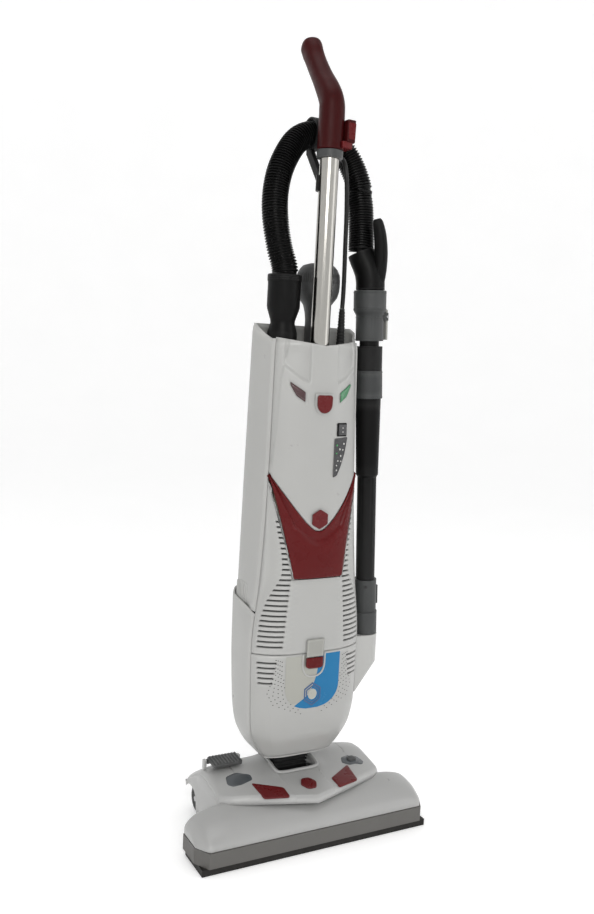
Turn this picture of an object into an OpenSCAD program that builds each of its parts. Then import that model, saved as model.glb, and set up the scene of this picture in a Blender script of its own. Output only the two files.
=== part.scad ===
// Commercial upright vacuum cleaner: floor head, reclining body, wand, hose and stored cord.
// Front faces -Y, +X is to the right as seen from the front, floor at z = 0.

/* [Floor head] */
// Half of the working width
head_half = 192; // [180:1:200]
// Front edge of the head, measured forward from the origin
head_front = 100; // [98:1:102]
// Half width of the raised rear deck
deck_half = 138; // [134:1:140]
// Radius of the rear wheels
wheel_r = 21.5; // [20:0.5:22]
// Radius of the roller brush over its bristles
bristle_r = 25; // [23:0.5:25]

/* [Body] */
// Height of the bottom of the body
body_bottom = 115; // [114:1:116]
// Height of the seam between exhaust cover and lower cover
seam_z = 286; // [282:1:290]
// Height of the front door's hinge edge
door_low = 400; // [398:1:402]
// Height of the front door's upper rim
door_top = 745; // [740:1:750]
// Wall thickness of the covers and casings
wall = 2.6; // [2.2:0.2:2.8]

/* [Handle] */
// Radius of the handle tube
tube_r = 14; // [13.5:0.5:14]
// Height of the handle tube's upper end
tube_top = 1011; // [1005:1:1015]

/* [Wand and hose] */
// Lean of the stored wand towards the handle, in degrees
wand_lean = 2.86; // [2.8:0.02:2.9]
// Radius of the wand's lower tube
wand_r = 15; // [14.5:0.5:15]
// Radius of the suction hose over its ridges
hose_r = 19.5; // [19:0.5:20]

/* [Power cord] */
// Diameter of the power cord
cord_d = 7; // [6:0.5:7]

/* [Hidden] */

fine = 64;
small = 32;
tube_y = -14;
head_top = 96;
brush_y = -68;
brush_z = 27;
motor_y = -2;
motor_z = 50;
wheel_y = 77;
wheel_x = 112;
pivot_y = 20;
pivot_z = 70;
pivot_r = 4;
coil_x = 25;
coil_y = 77;
coil_z = 620;
coil_mean_r = 63;
coil_half = 17;
gap = 0.4;
wand_base = [121, 5, 290];

// Profile of the body: widths and depths at chosen heights.
front_w_at = [[113, 54], [135, 72], [165, 86], [200, 90], [290, 92], [400, 82], [515, 75], [748, 70]];
front_y_at = [[113, -22], [130, -30], [155, -41], [200, -49], [300, -48], [400, -48], [487, -42],
              [656, -37], [748, -33]];
edge_y_at = [[113, -14], [200, -24], [300, -22], [400, -20], [515, -16], [748, -9]];
bow_at = [[200, 4], [300, 4], [450, 3], [748, 2.4]];
lower_w_at = [[113, 56], [135, 75], [165, 88], [200, 92], [300, 95], [375, 95]];
upper_w_at = [[340, 90], [515, 88], [772, 84]];
lower_back_at = [[113, 28], [140, 42], [200, 50], [375, 57]];
upper_back = 52;
corner_r = 15;

function mix(a, b, t) = a + (b - a) * t;
function front_w(z) = lookup(z, front_w_at);
function front_y(z) = lookup(z, front_y_at);
function edge_y(z) = lookup(z, edge_y_at);
// Point on the body's front, u from -1 at the left edge to 1 at the right edge.
function front_point(u, z) =
  let (w = front_w(z), yf = front_y(z), rise = edge_y(z) - yf, e = lookup(z, bow_at))
  [u * w, yf + rise * pow(abs(u), e), z];
// Same point, set in by a distance.
function front_inset(u, z, t) =
  let (w = front_w(z), p = front_point(u, z)) [u * (w - t), p[1] + t, z];
// Path round the sides and back at one height, from the right front edge to the left one.
function rear_half(w0, y0, w1, y1, back, r) =
  concat([[w0, y0], [mix(w0, w1, 0.33), mix(y0, y1, 0.5)], [w1, y1]],
         [for (a = [0 : 18 : 90]) [w1 - r + r * cos(a), back - r + r * sin(a)]]);
function rear_path(w0, y0, w1, y1, back, r) =
  let (half = rear_half(w0, y0, w1, y1, back, r))
  concat(half, [[0, back + 2]], [for (i = [len(half) - 1 : -1 : 0]) [-half[i][0], half[i][1]]]);
function upper_path(z, t) =
  rear_path(front_w(z) - t, edge_y(z) + wall + 1.3, lookup(z, upper_w_at) - t, 24,
            upper_back - t, corner_r - t);
function lower_path(z, t) =
  let (w = lookup(z, lower_w_at), r = min(corner_r, lookup(z, lower_back_at) - 10))
  rear_path(front_w(z) - t, edge_y(z) + wall + 1.3, w - t, 8, lookup(z, lower_back_at) - t, r - t);

// Limits of the chevron across the front.
function chevron_top(u) = 469 + 83 * pow((sqrt(u * u + 0.01) - 0.1) / 0.905, 1.2);
function chevron_low(u) =
  let (d = max(0, abs(u) - 0.49) / 0.51) min(chevron_top(u) - 3, door_low + 152 * pow(d, 0.9));
function rim_z(u) = door_top + 5 * abs(u) - 4 * (1 - abs(u));

// Closed shell between two grids of points: rows run upwards, columns to the right.
module shell(outer, inner) {
  m = len(outer);
  n = len(outer[0]);
  k = m * n;
  points = concat([for (row = outer) for (p = row) p], [for (row = inner) for (p = row) p]);
  quads = concat(
    [for (j = [0 : m - 2]) for (i = [0 : n - 2])
      [j * n + i, (j + 1) * n + i, (j + 1) * n + i + 1, j * n + i + 1]],
    [for (j = [0 : m - 2]) for (i = [0 : n - 2])
      [k + j * n + i, k + j * n + i + 1, k + (j + 1) * n + i + 1, k + (j + 1) * n + i]],
    [for (i = [0 : n - 2]) [i, i + 1, k + i + 1, k + i]],
    [for (i = [0 : n - 2]) let (b = (m - 1) * n + i) [b + 1, b, k + b, k + b + 1]],
    [for (j = [0 : m - 2]) let (b = j * n) [b + n, b, k + b, k + b + n]],
    [for (j = [0 : m - 2]) let (b = j * n + n - 1) [b, b + n, k + b + n, k + b]]);
  faces = [for (q = quads) each [[q[0], q[1], q[2]], [q[0], q[2], q[3]]]];
  polyhedron(points, faces, convexity = 8);
}

// Part of the front skin between two height curves; stand is how far it stands proud.
module front_skin(u0, u1, columns, rows, stand, thick, low, high) {
  us = [for (i = [0 : columns]) mix(u0, u1, i / columns)];
  function height(i, j) = mix(low[i], high[i], j / rows);
  outer = [for (j = [0 : rows]) [for (i = [0 : columns]) front_inset(us[i], height(i, j), -stand)]];
  inner = [for (j = [0 : rows]) [for (i = [0 : columns])
            front_inset(us[i], height(i, j), thick - stand)]];
  shell(outer, inner);
}

// Closed tub: outer and inner rings, open at the top.
module tub(outer, inner) {
  m = len(outer);
  n = len(outer[0]);
  k = m * n;
  points = concat([for (row = outer) for (p = row) p], [for (row = inner) for (p = row) p]);
  quads = concat(
    [for (j = [0 : m - 2]) for (i = [0 : n - 1]) let (r = (i + 1) % n)
      [j * n + i, (j + 1) * n + i, (j + 1) * n + r, j * n + r]],
    [for (j = [0 : m - 2]) for (i = [0 : n - 1]) let (r = (i + 1) % n)
      [k + j * n + i, k + j * n + r, k + (j + 1) * n + r, k + (j + 1) * n + i]],
    [for (i = [0 : n - 1]) let (r = (i + 1) % n, b = (m - 1) * n)
      [b + r, b + i, k + b + i, k + b + r]]);
  faces = concat([for (q = quads) each [[q[0], q[1], q[2]], [q[0], q[2], q[3]]]],
                 [[for (i = [0 : n - 1]) i]], [[for (i = [n - 1 : -1 : 0]) k + i]]);
  polyhedron(points, faces, convexity = 8);
}

// Solid round bar swept along a route, with a radius at each point.
function unit(v) = v / norm(v);
function tangents(p) = [for (i = [0 : len(p) - 1])
  unit(p[min(i + 1, len(p) - 1)] - p[max(i - 1, 0)])];
// Side direction carried along the route without twisting.
function carried(t, s, i) = i == len(t) ? [] :
  let (v = unit(s - (s * t[i]) * t[i])) concat([v], carried(t, v, i + 1));
module bar(route, radii, sides) {
  t = tangents(route);
  n = len(route);
  side = carried(t, unit(cross(t[0], [0.2, 1, 0.1])), 0);
  points = [for (i = [0 : n - 1]) for (s = [0 : sides - 1])
    let (a = 360 * s / sides, up = cross(side[i], t[i]))
    route[i] + radii[i] * (cos(a) * side[i] + sin(a) * up)];
  quads = [for (i = [0 : n - 2]) for (s = [0 : sides - 1]) let (r = (s + 1) % sides)
    [i * sides + s, i * sides + r, (i + 1) * sides + r, (i + 1) * sides + s]];
  faces = concat([for (q = quads) each [[q[0], q[1], q[2]], [q[0], q[2], q[3]]]],
    [[for (s = [sides - 1 : -1 : 0]) s]], [[for (s = [0 : sides - 1]) (n - 1) * sides + s]]);
  polyhedron(points, faces, convexity = 8);
}
// Smooth route through hand-set points, with a few steps between each pair.
function spline(p, steps) = let (n = len(p)) concat(
  [for (i = [0 : n - 2]) for (s = [0 : steps - 1])
    let (t = s / steps, a = p[max(i - 1, 0)], b = p[i], c = p[i + 1], d = p[min(i + 2, n - 1)])
    0.5 * (2 * b + (c - a) * t + (2 * a - 5 * b + 4 * c - d) * t * t
           + (3 * b - a - 3 * c + d) * t * t * t)], [p[n - 1]]);
function same(value, list) = [for (p = list) value];

// Cylinder along X from one place to another.
module rod_x(x0, x1, y, z, r) translate([x0, y, z]) rotate([0, 90, 0])
  cylinder(r = r, h = x1 - x0, $fn = fine);
module box(low, high) translate(low) cube(high - low);
module on_wand() translate(wand_base) rotate([0, -wand_lean, 0]) children();

// ---- Floor head ----
sole_front = head_front - 2;
slot_half = 172;
ear_x = 43;
module sole_plate() color([0.14, 0.12, 0.11]) {
  difference() {
    union() {
      box([-head_half + 4, -sole_front, 0], [head_half - 4, -34, 10]);
      box([-deck_half + 3, -34.5, 4], [deck_half - 3, 58, 10]);
      for (s = [-1, 1]) {
        hinge_ear(s);
        box([s < 0 ? -95 : 36, 48, 9.5], [s < 0 ? -36 : 95, 51, 75.5]);
      }
      box([-37, 48, 9.5], [37, 51, 58]);
    }
    box([-slot_half, -94, -1], [slot_half, -42, 11]);
    for (s = [-1, 1]) rod_x(s * ear_x - 8, s * ear_x + 8, pivot_y, pivot_z, pivot_r + 0.05);
  }
}
module hinge_ear(s) {
  box([s * ear_x - 3, pivot_y - 7, 9.5], [s * ear_x + 3, pivot_y + 7, pivot_z]);
  rod_x(s * ear_x - 3, s * ear_x + 3, pivot_y, pivot_z, 7);
}
module band_outline(out) {
  polygon([[-head_half + out, -33], [-head_half + out, -76], [-head_half + 14 + out, -head_front + out],
           [head_half - 14 - out, -head_front + out], [head_half - out, -76], [head_half - out, -33]]);
}
module bumper_band() color([0.44, 0.42, 0.4])
  translate([0, 0, 10]) linear_extrude(23) difference() {
    band_outline(0);
    band_outline(5);
    translate([-slot_half, -50]) square([2 * slot_half, 40]);
  }

// Prism along X: the outline is drawn as depth against height.
module prism_x(half) translate([-half, 0, 0]) rotate([90, 0, 90])
  linear_extrude(2 * half) children();
// Prism along Y: the outline is drawn as width against height.
module prism_y(y0, y1) translate([0, y1, 0]) rotate([90, 0, 0]) linear_extrude(y1 - y0) children();
function both_sides(right) =
  concat(right, [for (i = [len(right) - 1 : -1 : 0]) [-right[i][0], right[i][1]]]);

// Front hood over the roller brush, lower towards its two ends.
hood_end = head_half - 1;
hood_low = 33.3;
module hood_solid(t) intersection() {
  low = hood_low - (t > 0 ? 1 : 0);
  prism_x(hood_end - t) polygon([[-98 + t, low], [-97 + t, 44], [-93 + t, 52 - t / 2], [-85 + t / 2, 59 - t],
    [-72, 65 - t], [-56, 69 - t], [-40, 70 - t], [-34 - t, 68 - t], [-33 - t, low]]);
  prism_y(-100, -30) polygon(both_sides([[hood_end - t, 30], [hood_end - t, 50 - t], [183, 58 - t],
    [165, 66 - t], [120, 71 - t]]));
  translate([0, 0, 30]) linear_extrude(50) polygon(both_sides([[hood_end - t, -30], [hood_end - t, -77],
    [head_half - 15 - t / 2, -98 + t]]));
}
module front_hood() color([0.8, 0.8, 0.78]) difference() {
  hood_solid(0);
  hood_solid(wall);
  box([-deck_half, -40, 30], [deck_half, -30, 60]);
}

// Raised rear deck: front edge drawn forward in the middle, two fenders at the back.
neck_half = 33;
fender_in = 98;
module deck_solid(t) difference() {
  intersection() {
    prism_x(deck_half - t) polygon([[-90 + t, 74 - t], [-87 + t, 78 - t], [-60, 81.5 - t], [-34, 85.5 - t],
      [-2, 92 - t], [28, head_top - t], [45 - t / 2, 91 - t], [60 - t / 2, 82 - t], [80 - t / 2, 70 - t],
      [96 - t, 56 - t / 2], [100 - t, 46], [100 - t, t > 0 ? 0 : 12], [-32.6 - t, t > 0 ? 0 : 12],
      [-32.6 - t, 74 - t]]);
    prism_y(-100, 110) polygon(both_sides([[deck_half - t, -5], [deck_half - t, 78 - t], [134 - t / 2, 84 - t],
      [120, 90 - t], [100, 94 - t], [60, 97 - t]]));
    translate([0, 0, -2]) linear_extrude(120) polygon([[0, -88 + t], [114, -50 + t], [deck_half - t, -34],
      [deck_half - t, 101], [t - deck_half, 101], [t - deck_half, -34], [-114, -50 + t]]);
  }
  box([-fender_in - t, 50 - t, -3], [fender_in + t, 110, 200]);
  box([-neck_half - t, -14 - t, -3], [neck_half + t, 110, 200]);
}
module pedal_lug(x) box([x - 2.5, pedal_y - 4, 88], [x + 2.5, pedal_y + 4, pedal_z + 4]);
module rear_deck() color([0.8, 0.8, 0.78]) difference() {
  union() {
    difference() {
      deck_solid(0);
      deck_solid(wall);
      box([-97, -34, 0], [97, 52, 76]);
      box([-134, 44, 0], [134, 110, 46]);
      box([-140, 56, 0], [140, 110, 46]);
    }
    pedal_lug(-132);
    pedal_lug(-76);
  }
  rod_x(-136, -72, pedal_y, pedal_z, 2.05);
}

// Flat plates that lie just proud of the deck's slope.
module deck_plate(y, z, slope, thick) translate([0, y, z]) rotate([slope, 0, 0])
  linear_extrude(thick) children();
module deck_trim() color([0.42, 0.07, 0.1]) {
  for (s = [-1, 1]) deck_plate(-34, 87, 8.75, 1)
    polygon([[s * 84, 8], [s * 41, -18], [s * 44, -41], [s * 84, -30]]);
  deck_plate(-34, 87, 8.75, 1.6) translate([0, -21]) rotate(30) circle(r = 15, $fn = 6);
}
module belt_window() color([0.25, 0.27, 0.3]) deck_plate(-34, 86.4, 11.5, 1)
  polygon([[-116, 22], [-110, 10], [-96, 10], [-78, 25], [-100, 38], [-112, 35]]);
module height_slider() color([0.25, 0.27, 0.3]) deck_plate(-34, 86.4, 11.5, 4)
  polygon([[88, 15], [95, 11], [107, 11], [114, 15], [110, 27], [92, 27]]);

// Drive inside the head: motor, toothed pulley, belt and roller brush.
module brush_motor() color([0.35, 0.36, 0.38]) {
  rod_x(-106, -52, motor_y, motor_z, 23);
  rod_x(-112, -106, motor_y, motor_z, 10);
}
module motor_pulley() color([0.7, 0.7, 0.72]) {
  rod_x(-131, -124, motor_y, motor_z, 8);
  rod_x(-124, -112.3, motor_y, motor_z, 3);
}
module drive_belt() color([0.08, 0.08, 0.08])
  translate([-131, 0, 0]) rotate([90, 0, 90]) linear_extrude(7) difference() {
    belt_outline(10.2, 15.9);
    belt_outline(8.4, 14.1);
  }
module belt_outline(r1, r2) hull() {
  translate([motor_y, motor_z]) circle(r = r1, $fn = small);
  translate([brush_y, brush_z]) circle(r = r2, $fn = small);
}
brush_half = 164;
module brush_core() color([0.3, 0.3, 0.32]) {
  rod_x(-122, brush_half, brush_y, brush_z, 12);
  rod_x(-133, -122, brush_y, brush_z, 13.7);
  rod_x(-brush_half, -133, brush_y, brush_z, 12);
  rod_x(-brush_half - 5, -brush_half, brush_y, brush_z, 4);
  rod_x(brush_half, brush_half + 5, brush_y, brush_z, 4);
}
module brush_bristles() color([0.1, 0.1, 0.1]) {
  for (part = [[-120, 162], [-160, -135]])
    let (long = part[1] - part[0]) translate([part[0], brush_y, brush_z]) rotate([0, 90, 0])
      linear_extrude(long, twist = long * 1.1, slices = ceil(long / 20))
        for (a = [0, 120, 240]) rotate(a) translate([12.5, -2.5]) square([bristle_r - 12.5, 5]);
}
module wheel_axles() color([0.7, 0.7, 0.72])
  for (s = [-1, 1]) {
    rod_x(min(s * 96, s * 130), max(s * 96, s * 130), wheel_y, wheel_r, 4);
    box([s * 102 - 3, 46, 10.3], [s * 102 + 3, wheel_y + 6, 28]);
  }
module wheel(s) {
  rotate_x_profile(s * (wheel_x + 8), wheel_y, wheel_r)
    polygon([[4.06, -7], [16, -7], [17, -8], [wheel_r - 1.5, -8], [wheel_r, -6.5], [wheel_r, 6.5],
             [wheel_r - 1.5, 8], [17, 8], [16, 6], [4.06, 6]]);
}
module rotate_x_profile(x, y, z) translate([x, y, z]) rotate([0, 90, 0])
  rotate_extrude($fn = fine) children();
module left_wheel() color([0.2, 0.2, 0.21]) wheel(-1);
module right_wheel() color([0.2, 0.2, 0.21]) wheel(1);

// Foot pedal that frees the body; it rocks on its own stub pins.
pedal_y = 40;
pedal_z = 99;
module release_pedal() color([0.25, 0.25, 0.26]) {
  rod_x(-134, -74, pedal_y, pedal_z, 2);
  rod_x(-128, -80, pedal_y, pedal_z, 4);
  translate([0, pedal_y, pedal_z]) rotate([4, 0, 0]) box([-127.4, -28, 1.5], [-80.6, 2.5, 8]);
}
module recline_pin() color([0.75, 0.75, 0.77]) rod_x(-47, 47, pivot_y, pivot_z, pivot_r);

// ---- Body ----
module swivel_neck() color([0.07, 0.07, 0.07]) {
  difference() {
    union() {
      rod_x(-31, 31, pivot_y, pivot_z, 12);
      box([-27, pivot_y - 11, pivot_z], [27, pivot_y + 11, body_bottom - 0.3]);
      for (k = [0 : 4])
        box([-29, pivot_y - 13, pivot_z + 14 + k * 6], [29, pivot_y + 13, pivot_z + 17 + k * 6]);
    }
    rod_x(-40, 40, pivot_y, pivot_z, pivot_r + 0.05);
  }
}

tub_steps = [0, 0.03, 0.06, 0.1, 0.16, 0.24, 0.36, 0.52, 0.68, 0.84, 1];
tub_us = [for (i = [0 : 12]) i / 6 - 1];
function tub_rim(y) = mix(345, 372, min(1, max(0, (y + 16) / 56)));
function tub_ring(v, t, floor_z) = let (
    front = [for (u = tub_us) let (z = mix(floor_z, seam_z, v)) front_inset(u, z, wall + 1 + t)],
    levels = [for (p = lower_path(200, 0)) mix(floor_z, tub_rim(p[1]), v)],
    rear = [for (i = [0 : len(levels) - 1]) let (p = lower_path(levels[i], t)[i]) [p[0], p[1], levels[i]]])
  concat(front, rear);
module lower_casing() color([0.8, 0.8, 0.78])
  tub([for (v = tub_steps) tub_ring(v, 0, body_bottom)], 
      [for (v = tub_steps) tub_ring(v, wall, body_bottom + 3)]);

module lower_cover() color([0.82, 0.82, 0.8]) {
  n = 20;
  front_skin(-1, 1, n, 9, 0, wall, same(body_bottom + 6, [0 : n]), same(seam_z - gap, [0 : n]));
}
module emblem_panel() color([0.2, 0.5, 0.7]) {
  n = 10;
  edge = 0.5;
  low = [for (i = [0 : n]) mix(268, 204, 1 - abs(i / n * 2 - 1))];
  front_skin(-edge, edge, n, 3, 1.2, 0.9, low, same(seam_z - 4, [0 : n]));
}
latch_u = 0.17;
module latch_slider() color([0.6, 0.6, 0.58]) {
  n = 6;
  front_skin(-latch_u, latch_u, n, 4, 5.5, 3, same(seam_z - 6, [0 : n]), same(seam_z + 22, [0 : n]));
}
module latch_key() color([0.5, 0.08, 0.1]) {
  n = 6;
  front_skin(-latch_u, latch_u, n, 3, 5.5, 3, same(seam_z - 24, [0 : n]), same(seam_z - 6.4, [0 : n]));
}
// Keeps the cover's two horns clear of the chevron as the cover is drawn forward.
horn_ease = 0.95;
module vent_cover() color([0.8, 0.8, 0.78]) {
  n = 28;
  us = [for (i = [0 : n]) i / n * 2 - 1];
  front_skin(-1, 1, n, 10, 0, wall, same(seam_z + gap, us), [for (u = us) chevron_low(u * horn_ease) - 2]);
}
module exhaust_filter() color([0.85, 0.85, 0.8]) box([-62, -34, 296], [62, -8, 388]);
module suction_motor() color([0.4, 0.41, 0.43]) {
  translate([0, 6, 150]) cylinder(r = 32, h = 46, $fn = fine);
  translate([0, 6, 196]) cylinder(r = 39, h = 40, $fn = fine);
}
module motor_seals() color([0.1, 0.1, 0.1]) {
  translate([0, 6, 143]) cylinder(r = 30, h = 7, $fn = fine);
  translate([0, 6, 236]) difference() {
    cylinder(r = 39, h = 8, $fn = fine);
    translate([0, 0, -1]) cylinder(r = 26, h = 10, $fn = fine);
  }
}

// Rear casing: one wall round the sides and back, open to the front.
casing_steps = [for (j = [0 : 10]) j / 10];
function casing_top(y) = mix(748, 770, min(1, max(0, (y + 8) / 50)));
module rear_casing() color([0.8, 0.8, 0.78]) {
  shell([for (v = casing_steps) casing_row(v, 0)], [for (v = casing_steps) casing_row(v, wall)]);
}
function casing_row(v, t) = let (
    levels = [for (p = upper_path(600, 0)) mix(348, casing_top(p[1]), v)])
  [for (i = [0 : len(levels) - 1]) let (p = upper_path(levels[i], t)[i]) [p[0], p[1], levels[i]]];
module wand_port() color([0.8, 0.8, 0.78]) hull() {
  translate([121, 5, 244]) cylinder(r = 20, h = 46, $fn = small);
  translate([114, 5, 226]) cylinder(r = 12, h = 10, $fn = small);
  box([96, -14, 200], [97, 26, 290]);
}

// Shelf behind the door's rim, with stubs for the handle tube, the cord's sleeve and the brush.
shelf_z = 741;
module top_deck() color([0.75, 0.75, 0.73]) difference() {
  union() {
    translate([0, 0, shelf_z - 6]) linear_extrude(6) polygon([[-64, -2], [-74, 14], [-79, 26], [-79, 36],
      [-66, 48], [66, 48], [79, 36], [79, 26], [74, 14], [64, -2], [18, -2], [15, -27], [-15, -27], [-18, -2]]);
    translate([0, tube_y, shelf_z - 1]) cylinder(r = 12.45, h = 42, $fn = fine);
    translate([51, 13, shelf_z - 1]) cylinder(r = 9, h = 2.2, $fn = fine);
    translate([17, 31, shelf_z - 1]) cylinder(r = 13.9, h = 42, $fn = fine);
  }
  translate([-49, 13, 700]) cylinder(r = 18.05, h = 60, $fn = fine);
}
module dust_bag() color([0.9, 0.88, 0.8]) translate([0, 0, 425]) linear_extrude(245) hull()
  for (x = [-46, 46]) for (y = [-2, 32]) translate([x, y]) circle(r = 12, $fn = small);
module bag_holder() color([0.6, 0.6, 0.6]) difference() {
  box([-68, -6, 676], [60, 44, 682]);
  translate([-49, 13, 670]) cylinder(r = 16, h = 20, $fn = fine);
}

// ---- Front door and what it carries ----
module front_door() color([0.82, 0.82, 0.8]) {
  n = 24;
  us = [for (i = [0 : n]) i / n * 2 - 1];
  front_skin(-1, 1, n, 12, 0, wall, [for (u = us) chevron_top(u) + gap], [for (u = us) rim_z(u)]);
}
module chevron_trim() color([0.4, 0.08, 0.1]) {
  n = 24;
  us = [for (i = [0 : n]) i / n * 2 - 1];
  front_skin(-1, 1, n, 5, 1, wall + 1, [for (u = us) chevron_low(u)], [for (u = us) chevron_top(u)]);
}
module front_plate(points, z0, stand, thick) translate([0, front_y(z0) - stand, 0]) rotate([90, 0, 0])
  translate([0, 0, -thick]) linear_extrude(thick) polygon(points);
badge_z = 487;
module front_badge() color([0.55, 0.05, 0.1])
  front_plate([for (a = [30 : 60 : 330]) [15 * cos(a), badge_z + 15 * sin(a)]], badge_z, 4.5, 3);
module lens(side) {
  n = 6;
  us = [for (i = [0 : n]) side * mix(side < 0 ? 0.715 : 0.41, side < 0 ? 0.41 : 0.715, i / n)];
  low = [for (u = us) lookup(abs(u), [[0.41, 658.5], [0.59, 667], [0.715, 683]])];
  high = [for (u = us) lookup(abs(u), [[0.41, 673], [0.59, 680], [0.715, 687]])];
  front_skin(us[0], us[n], n, 2, 1.4, 1, low, high);
}
module left_lens() color([0.3, 0.05, 0.07]) lens(-1);
module right_lens() color([0.1, 0.45, 0.2]) lens(1);
module control_panel() color([0.08, 0.08, 0.09]) {
  n = 8;
  low = [for (i = [0 : n]) mix(548, 600, pow(i / n, 1.5))];
  front_skin(0.24, 0.66, n, 3, 1.6, 1.2, low, same(609, [0 : n]));
}
switch_z = 619;
module rocker_switch() color([0.05, 0.05, 0.05]) {
  y = front_point(0.45, switch_z)[1];
  box([25, y - 6, switch_z - 9], [43, y - 3, switch_z + 9]);
}
button_z = 656;
module release_button() color([0.5, 0.08, 0.12])
  front_plate([[-14, button_z + 13], [-14, button_z], [-8, button_z - 10], [0, button_z - 14],
               [8, button_z - 10], [14, button_z], [14, button_z + 13]], button_z, 7, 3.5);

// ---- Handle, cord and hose ----
module at_tube(z) translate([0, tube_y, z]) children();
tube_low = shelf_z + 0.2;
module handle_tube() color([0.8, 0.8, 0.82]) at_tube(tube_low) difference() {
  cylinder(r = tube_r, h = tube_top - tube_low, $fn = fine);
  translate([0, 0, -1]) cylinder(r = 12.5, h = tube_top, $fn = fine);
}
module tube_ring() color([0.35, 0.36, 0.36]) at_tube(tube_top - 3) difference() {
  cylinder(r = 19, h = 10.5, $fn = fine);
  translate([0, 0, -1]) cylinder(r = tube_r + 0.05, h = 20, $fn = fine);
}
grip_low = tube_top + 7.8;
grip_route = [[0, tube_y, grip_low], [0, tube_y, 1048], [0, tube_y, 1070], [0, -9, 1088], [0, 4, 1107],
              [0, 24, 1132], [0, 44, 1158], [0, 58, 1177], [0, 65, 1186]];
grip_radii = [19.5, 19.5, 19.5, 19, 18, 17, 17, 17.5, 14];
module grip() color([0.4, 0.08, 0.1]) bar(grip_route, grip_radii, 24);
module cord_clip() color([0.4, 0.08, 0.1]) difference() {
  box([6, -38, 1021], [30, -8, 1062]);
  at_tube(1000) cylinder(r = 19.9, h = 80, $fn = fine);
}
module cord_hook() color([0.15, 0.15, 0.15]) {
  z = coil_z + coil_mean_r - coil_half - 5.4;
  box([coil_x - 16, 54.6, z - 20], [coil_x + 16, 58.4, z + 16]);
  translate([coil_x, 58.3, z]) rotate([-90, 0, 0]) cylinder(r = 5, h = 37.5, $fn = fine);
  box([coil_x - 14, 95.6, z - 8], [coil_x + 14, 99.6, z + 34]);
}
relief_at = [51, 13, 742.2];
module strain_relief() color([0.08, 0.08, 0.08]) translate(relief_at)
  cylinder(r1 = 6.4, r2 = 4.8, h = 56, $fn = fine);
cord_points = [[51, 13, 798.4], [51, 12, 820], [49, 9, 850], [45, 4, 890], [40, -3, 935], [34, -9, 978],
  [31, -8, 1000], [31, 0, 1012], [33, 12, 1015], [36, 26, 1006], [40, 40, 986], [44, 52, 958],
  [47, 60, 925], [48, 63, 880], [48, 63, 830], [48, 63, 780], [47, 64.6, 745], [49.5, 64.4, 726],
  [55, 64.4, 711], [63, 64.4, 700], [71, 64.4, 692.5]];
module power_cord() color([0.06, 0.06, 0.06]) {
  route = spline(cord_points, 2);
  bar(route, same(cord_d / 2, route), 8);
}
module cord_coil() color([0.06, 0.06, 0.06]) translate([coil_x, coil_y, coil_z]) rotate([90, 0, 0])
  rotate_extrude($fn = fine) translate([coil_mean_r, 0]) square(2 * coil_half, center = true);
module power_plug() color([0.07, 0.07, 0.07]) translate([coil_x, coil_y, 0]) {
  translate([0, 0, 521]) cylinder(r = 6, h = 19, $fn = fine);
  translate([0, 0, 497]) cylinder(r = 17, h = 24, $fn = fine);
  for (x = [-9.5, 9.5]) translate([x, 0, 478]) cylinder(r = 2.4, h = 19, $fn = fine);
}
cuff_at = [-49, 13, 0];
module hose_cuff() color([0.07, 0.07, 0.07]) translate(cuff_at) rotate_extrude($fn = fine)
  polygon([[14.5, 722], [18, 722], [18, shelf_z + 0.4], [22, shelf_z + 0.4], [22, 758], [17.5, 772],
           [20, 780], [24.5, 794], [24.5, 830], [25.2, 832], [25.2, 841], [14.5, 841]]);
hose_points = [[-49, 13, 841.4], [-49, 13, 846], [-51, 15, 858], [-57, 19, 880], [-63, 24, 918],
  [-63, 29, 952], [-57, 33, 984], [-46, 37, 1010], [-30, 42, 1034], [-14, 45, 1047], [4, 47, 1053],
  [24, 47, 1054], [45, 45, 1045], [63, 39, 1023], [74, 32.5, 998], [79, 29, 980], [79, 29, 975]];
module suction_hose() color([0.05, 0.05, 0.05]) bar(hose_points, same(hose_r, hose_points), 16);
leg_points = [[79, 29, 974.6], [79, 29, 970], [81, 26, 955], [82, 23, 930], [82, 20, 907], [81, 17.5, 890],
  [81, 17.5, 885.5]];
module hose_leg() color([0.05, 0.05, 0.05]) bar(leg_points, same(hose_r, leg_points), 16);
module hose_hook() color([0.08, 0.08, 0.08]) difference() {
  union() {
    at_tube(962) cylinder(r = 18, h = 22, $fn = fine);
    hull() {
      translate([-3.5, 2, 966]) cube([7, 3, 14]);
      translate([-3.5, 40, 1024]) cube([7, 12, 6]);
    }
    rod_x(-2, 10, 47, 1053, 24.4);
  }
  at_tube(900) cylinder(r = tube_r + 0.05, h = 120, $fn = fine);
  box([-20, tube_y - 20, 960], [20, tube_y + 3, 986]);
  rod_x(-3, 11, 47, 1053, 21.6);
}
module hose_grip() color([0.06, 0.06, 0.06]) {
  bar([[94.1, 5, 829.7], [93.2, 6, 844], [89.2, 10, 858], [84, 14.8, 869], [81, 17.5, 879],
       [81, 17.5, 884.8]], [22, 22, 21.5, 21, 20.5, 20.5], 20);
  bar([[101, -3, 838], [101, -7, 862], [100, -9, 892], [96, -9, 917], [89, -8, 936]], [9, 11, 10.5, 10, 8], 12);
}

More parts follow.
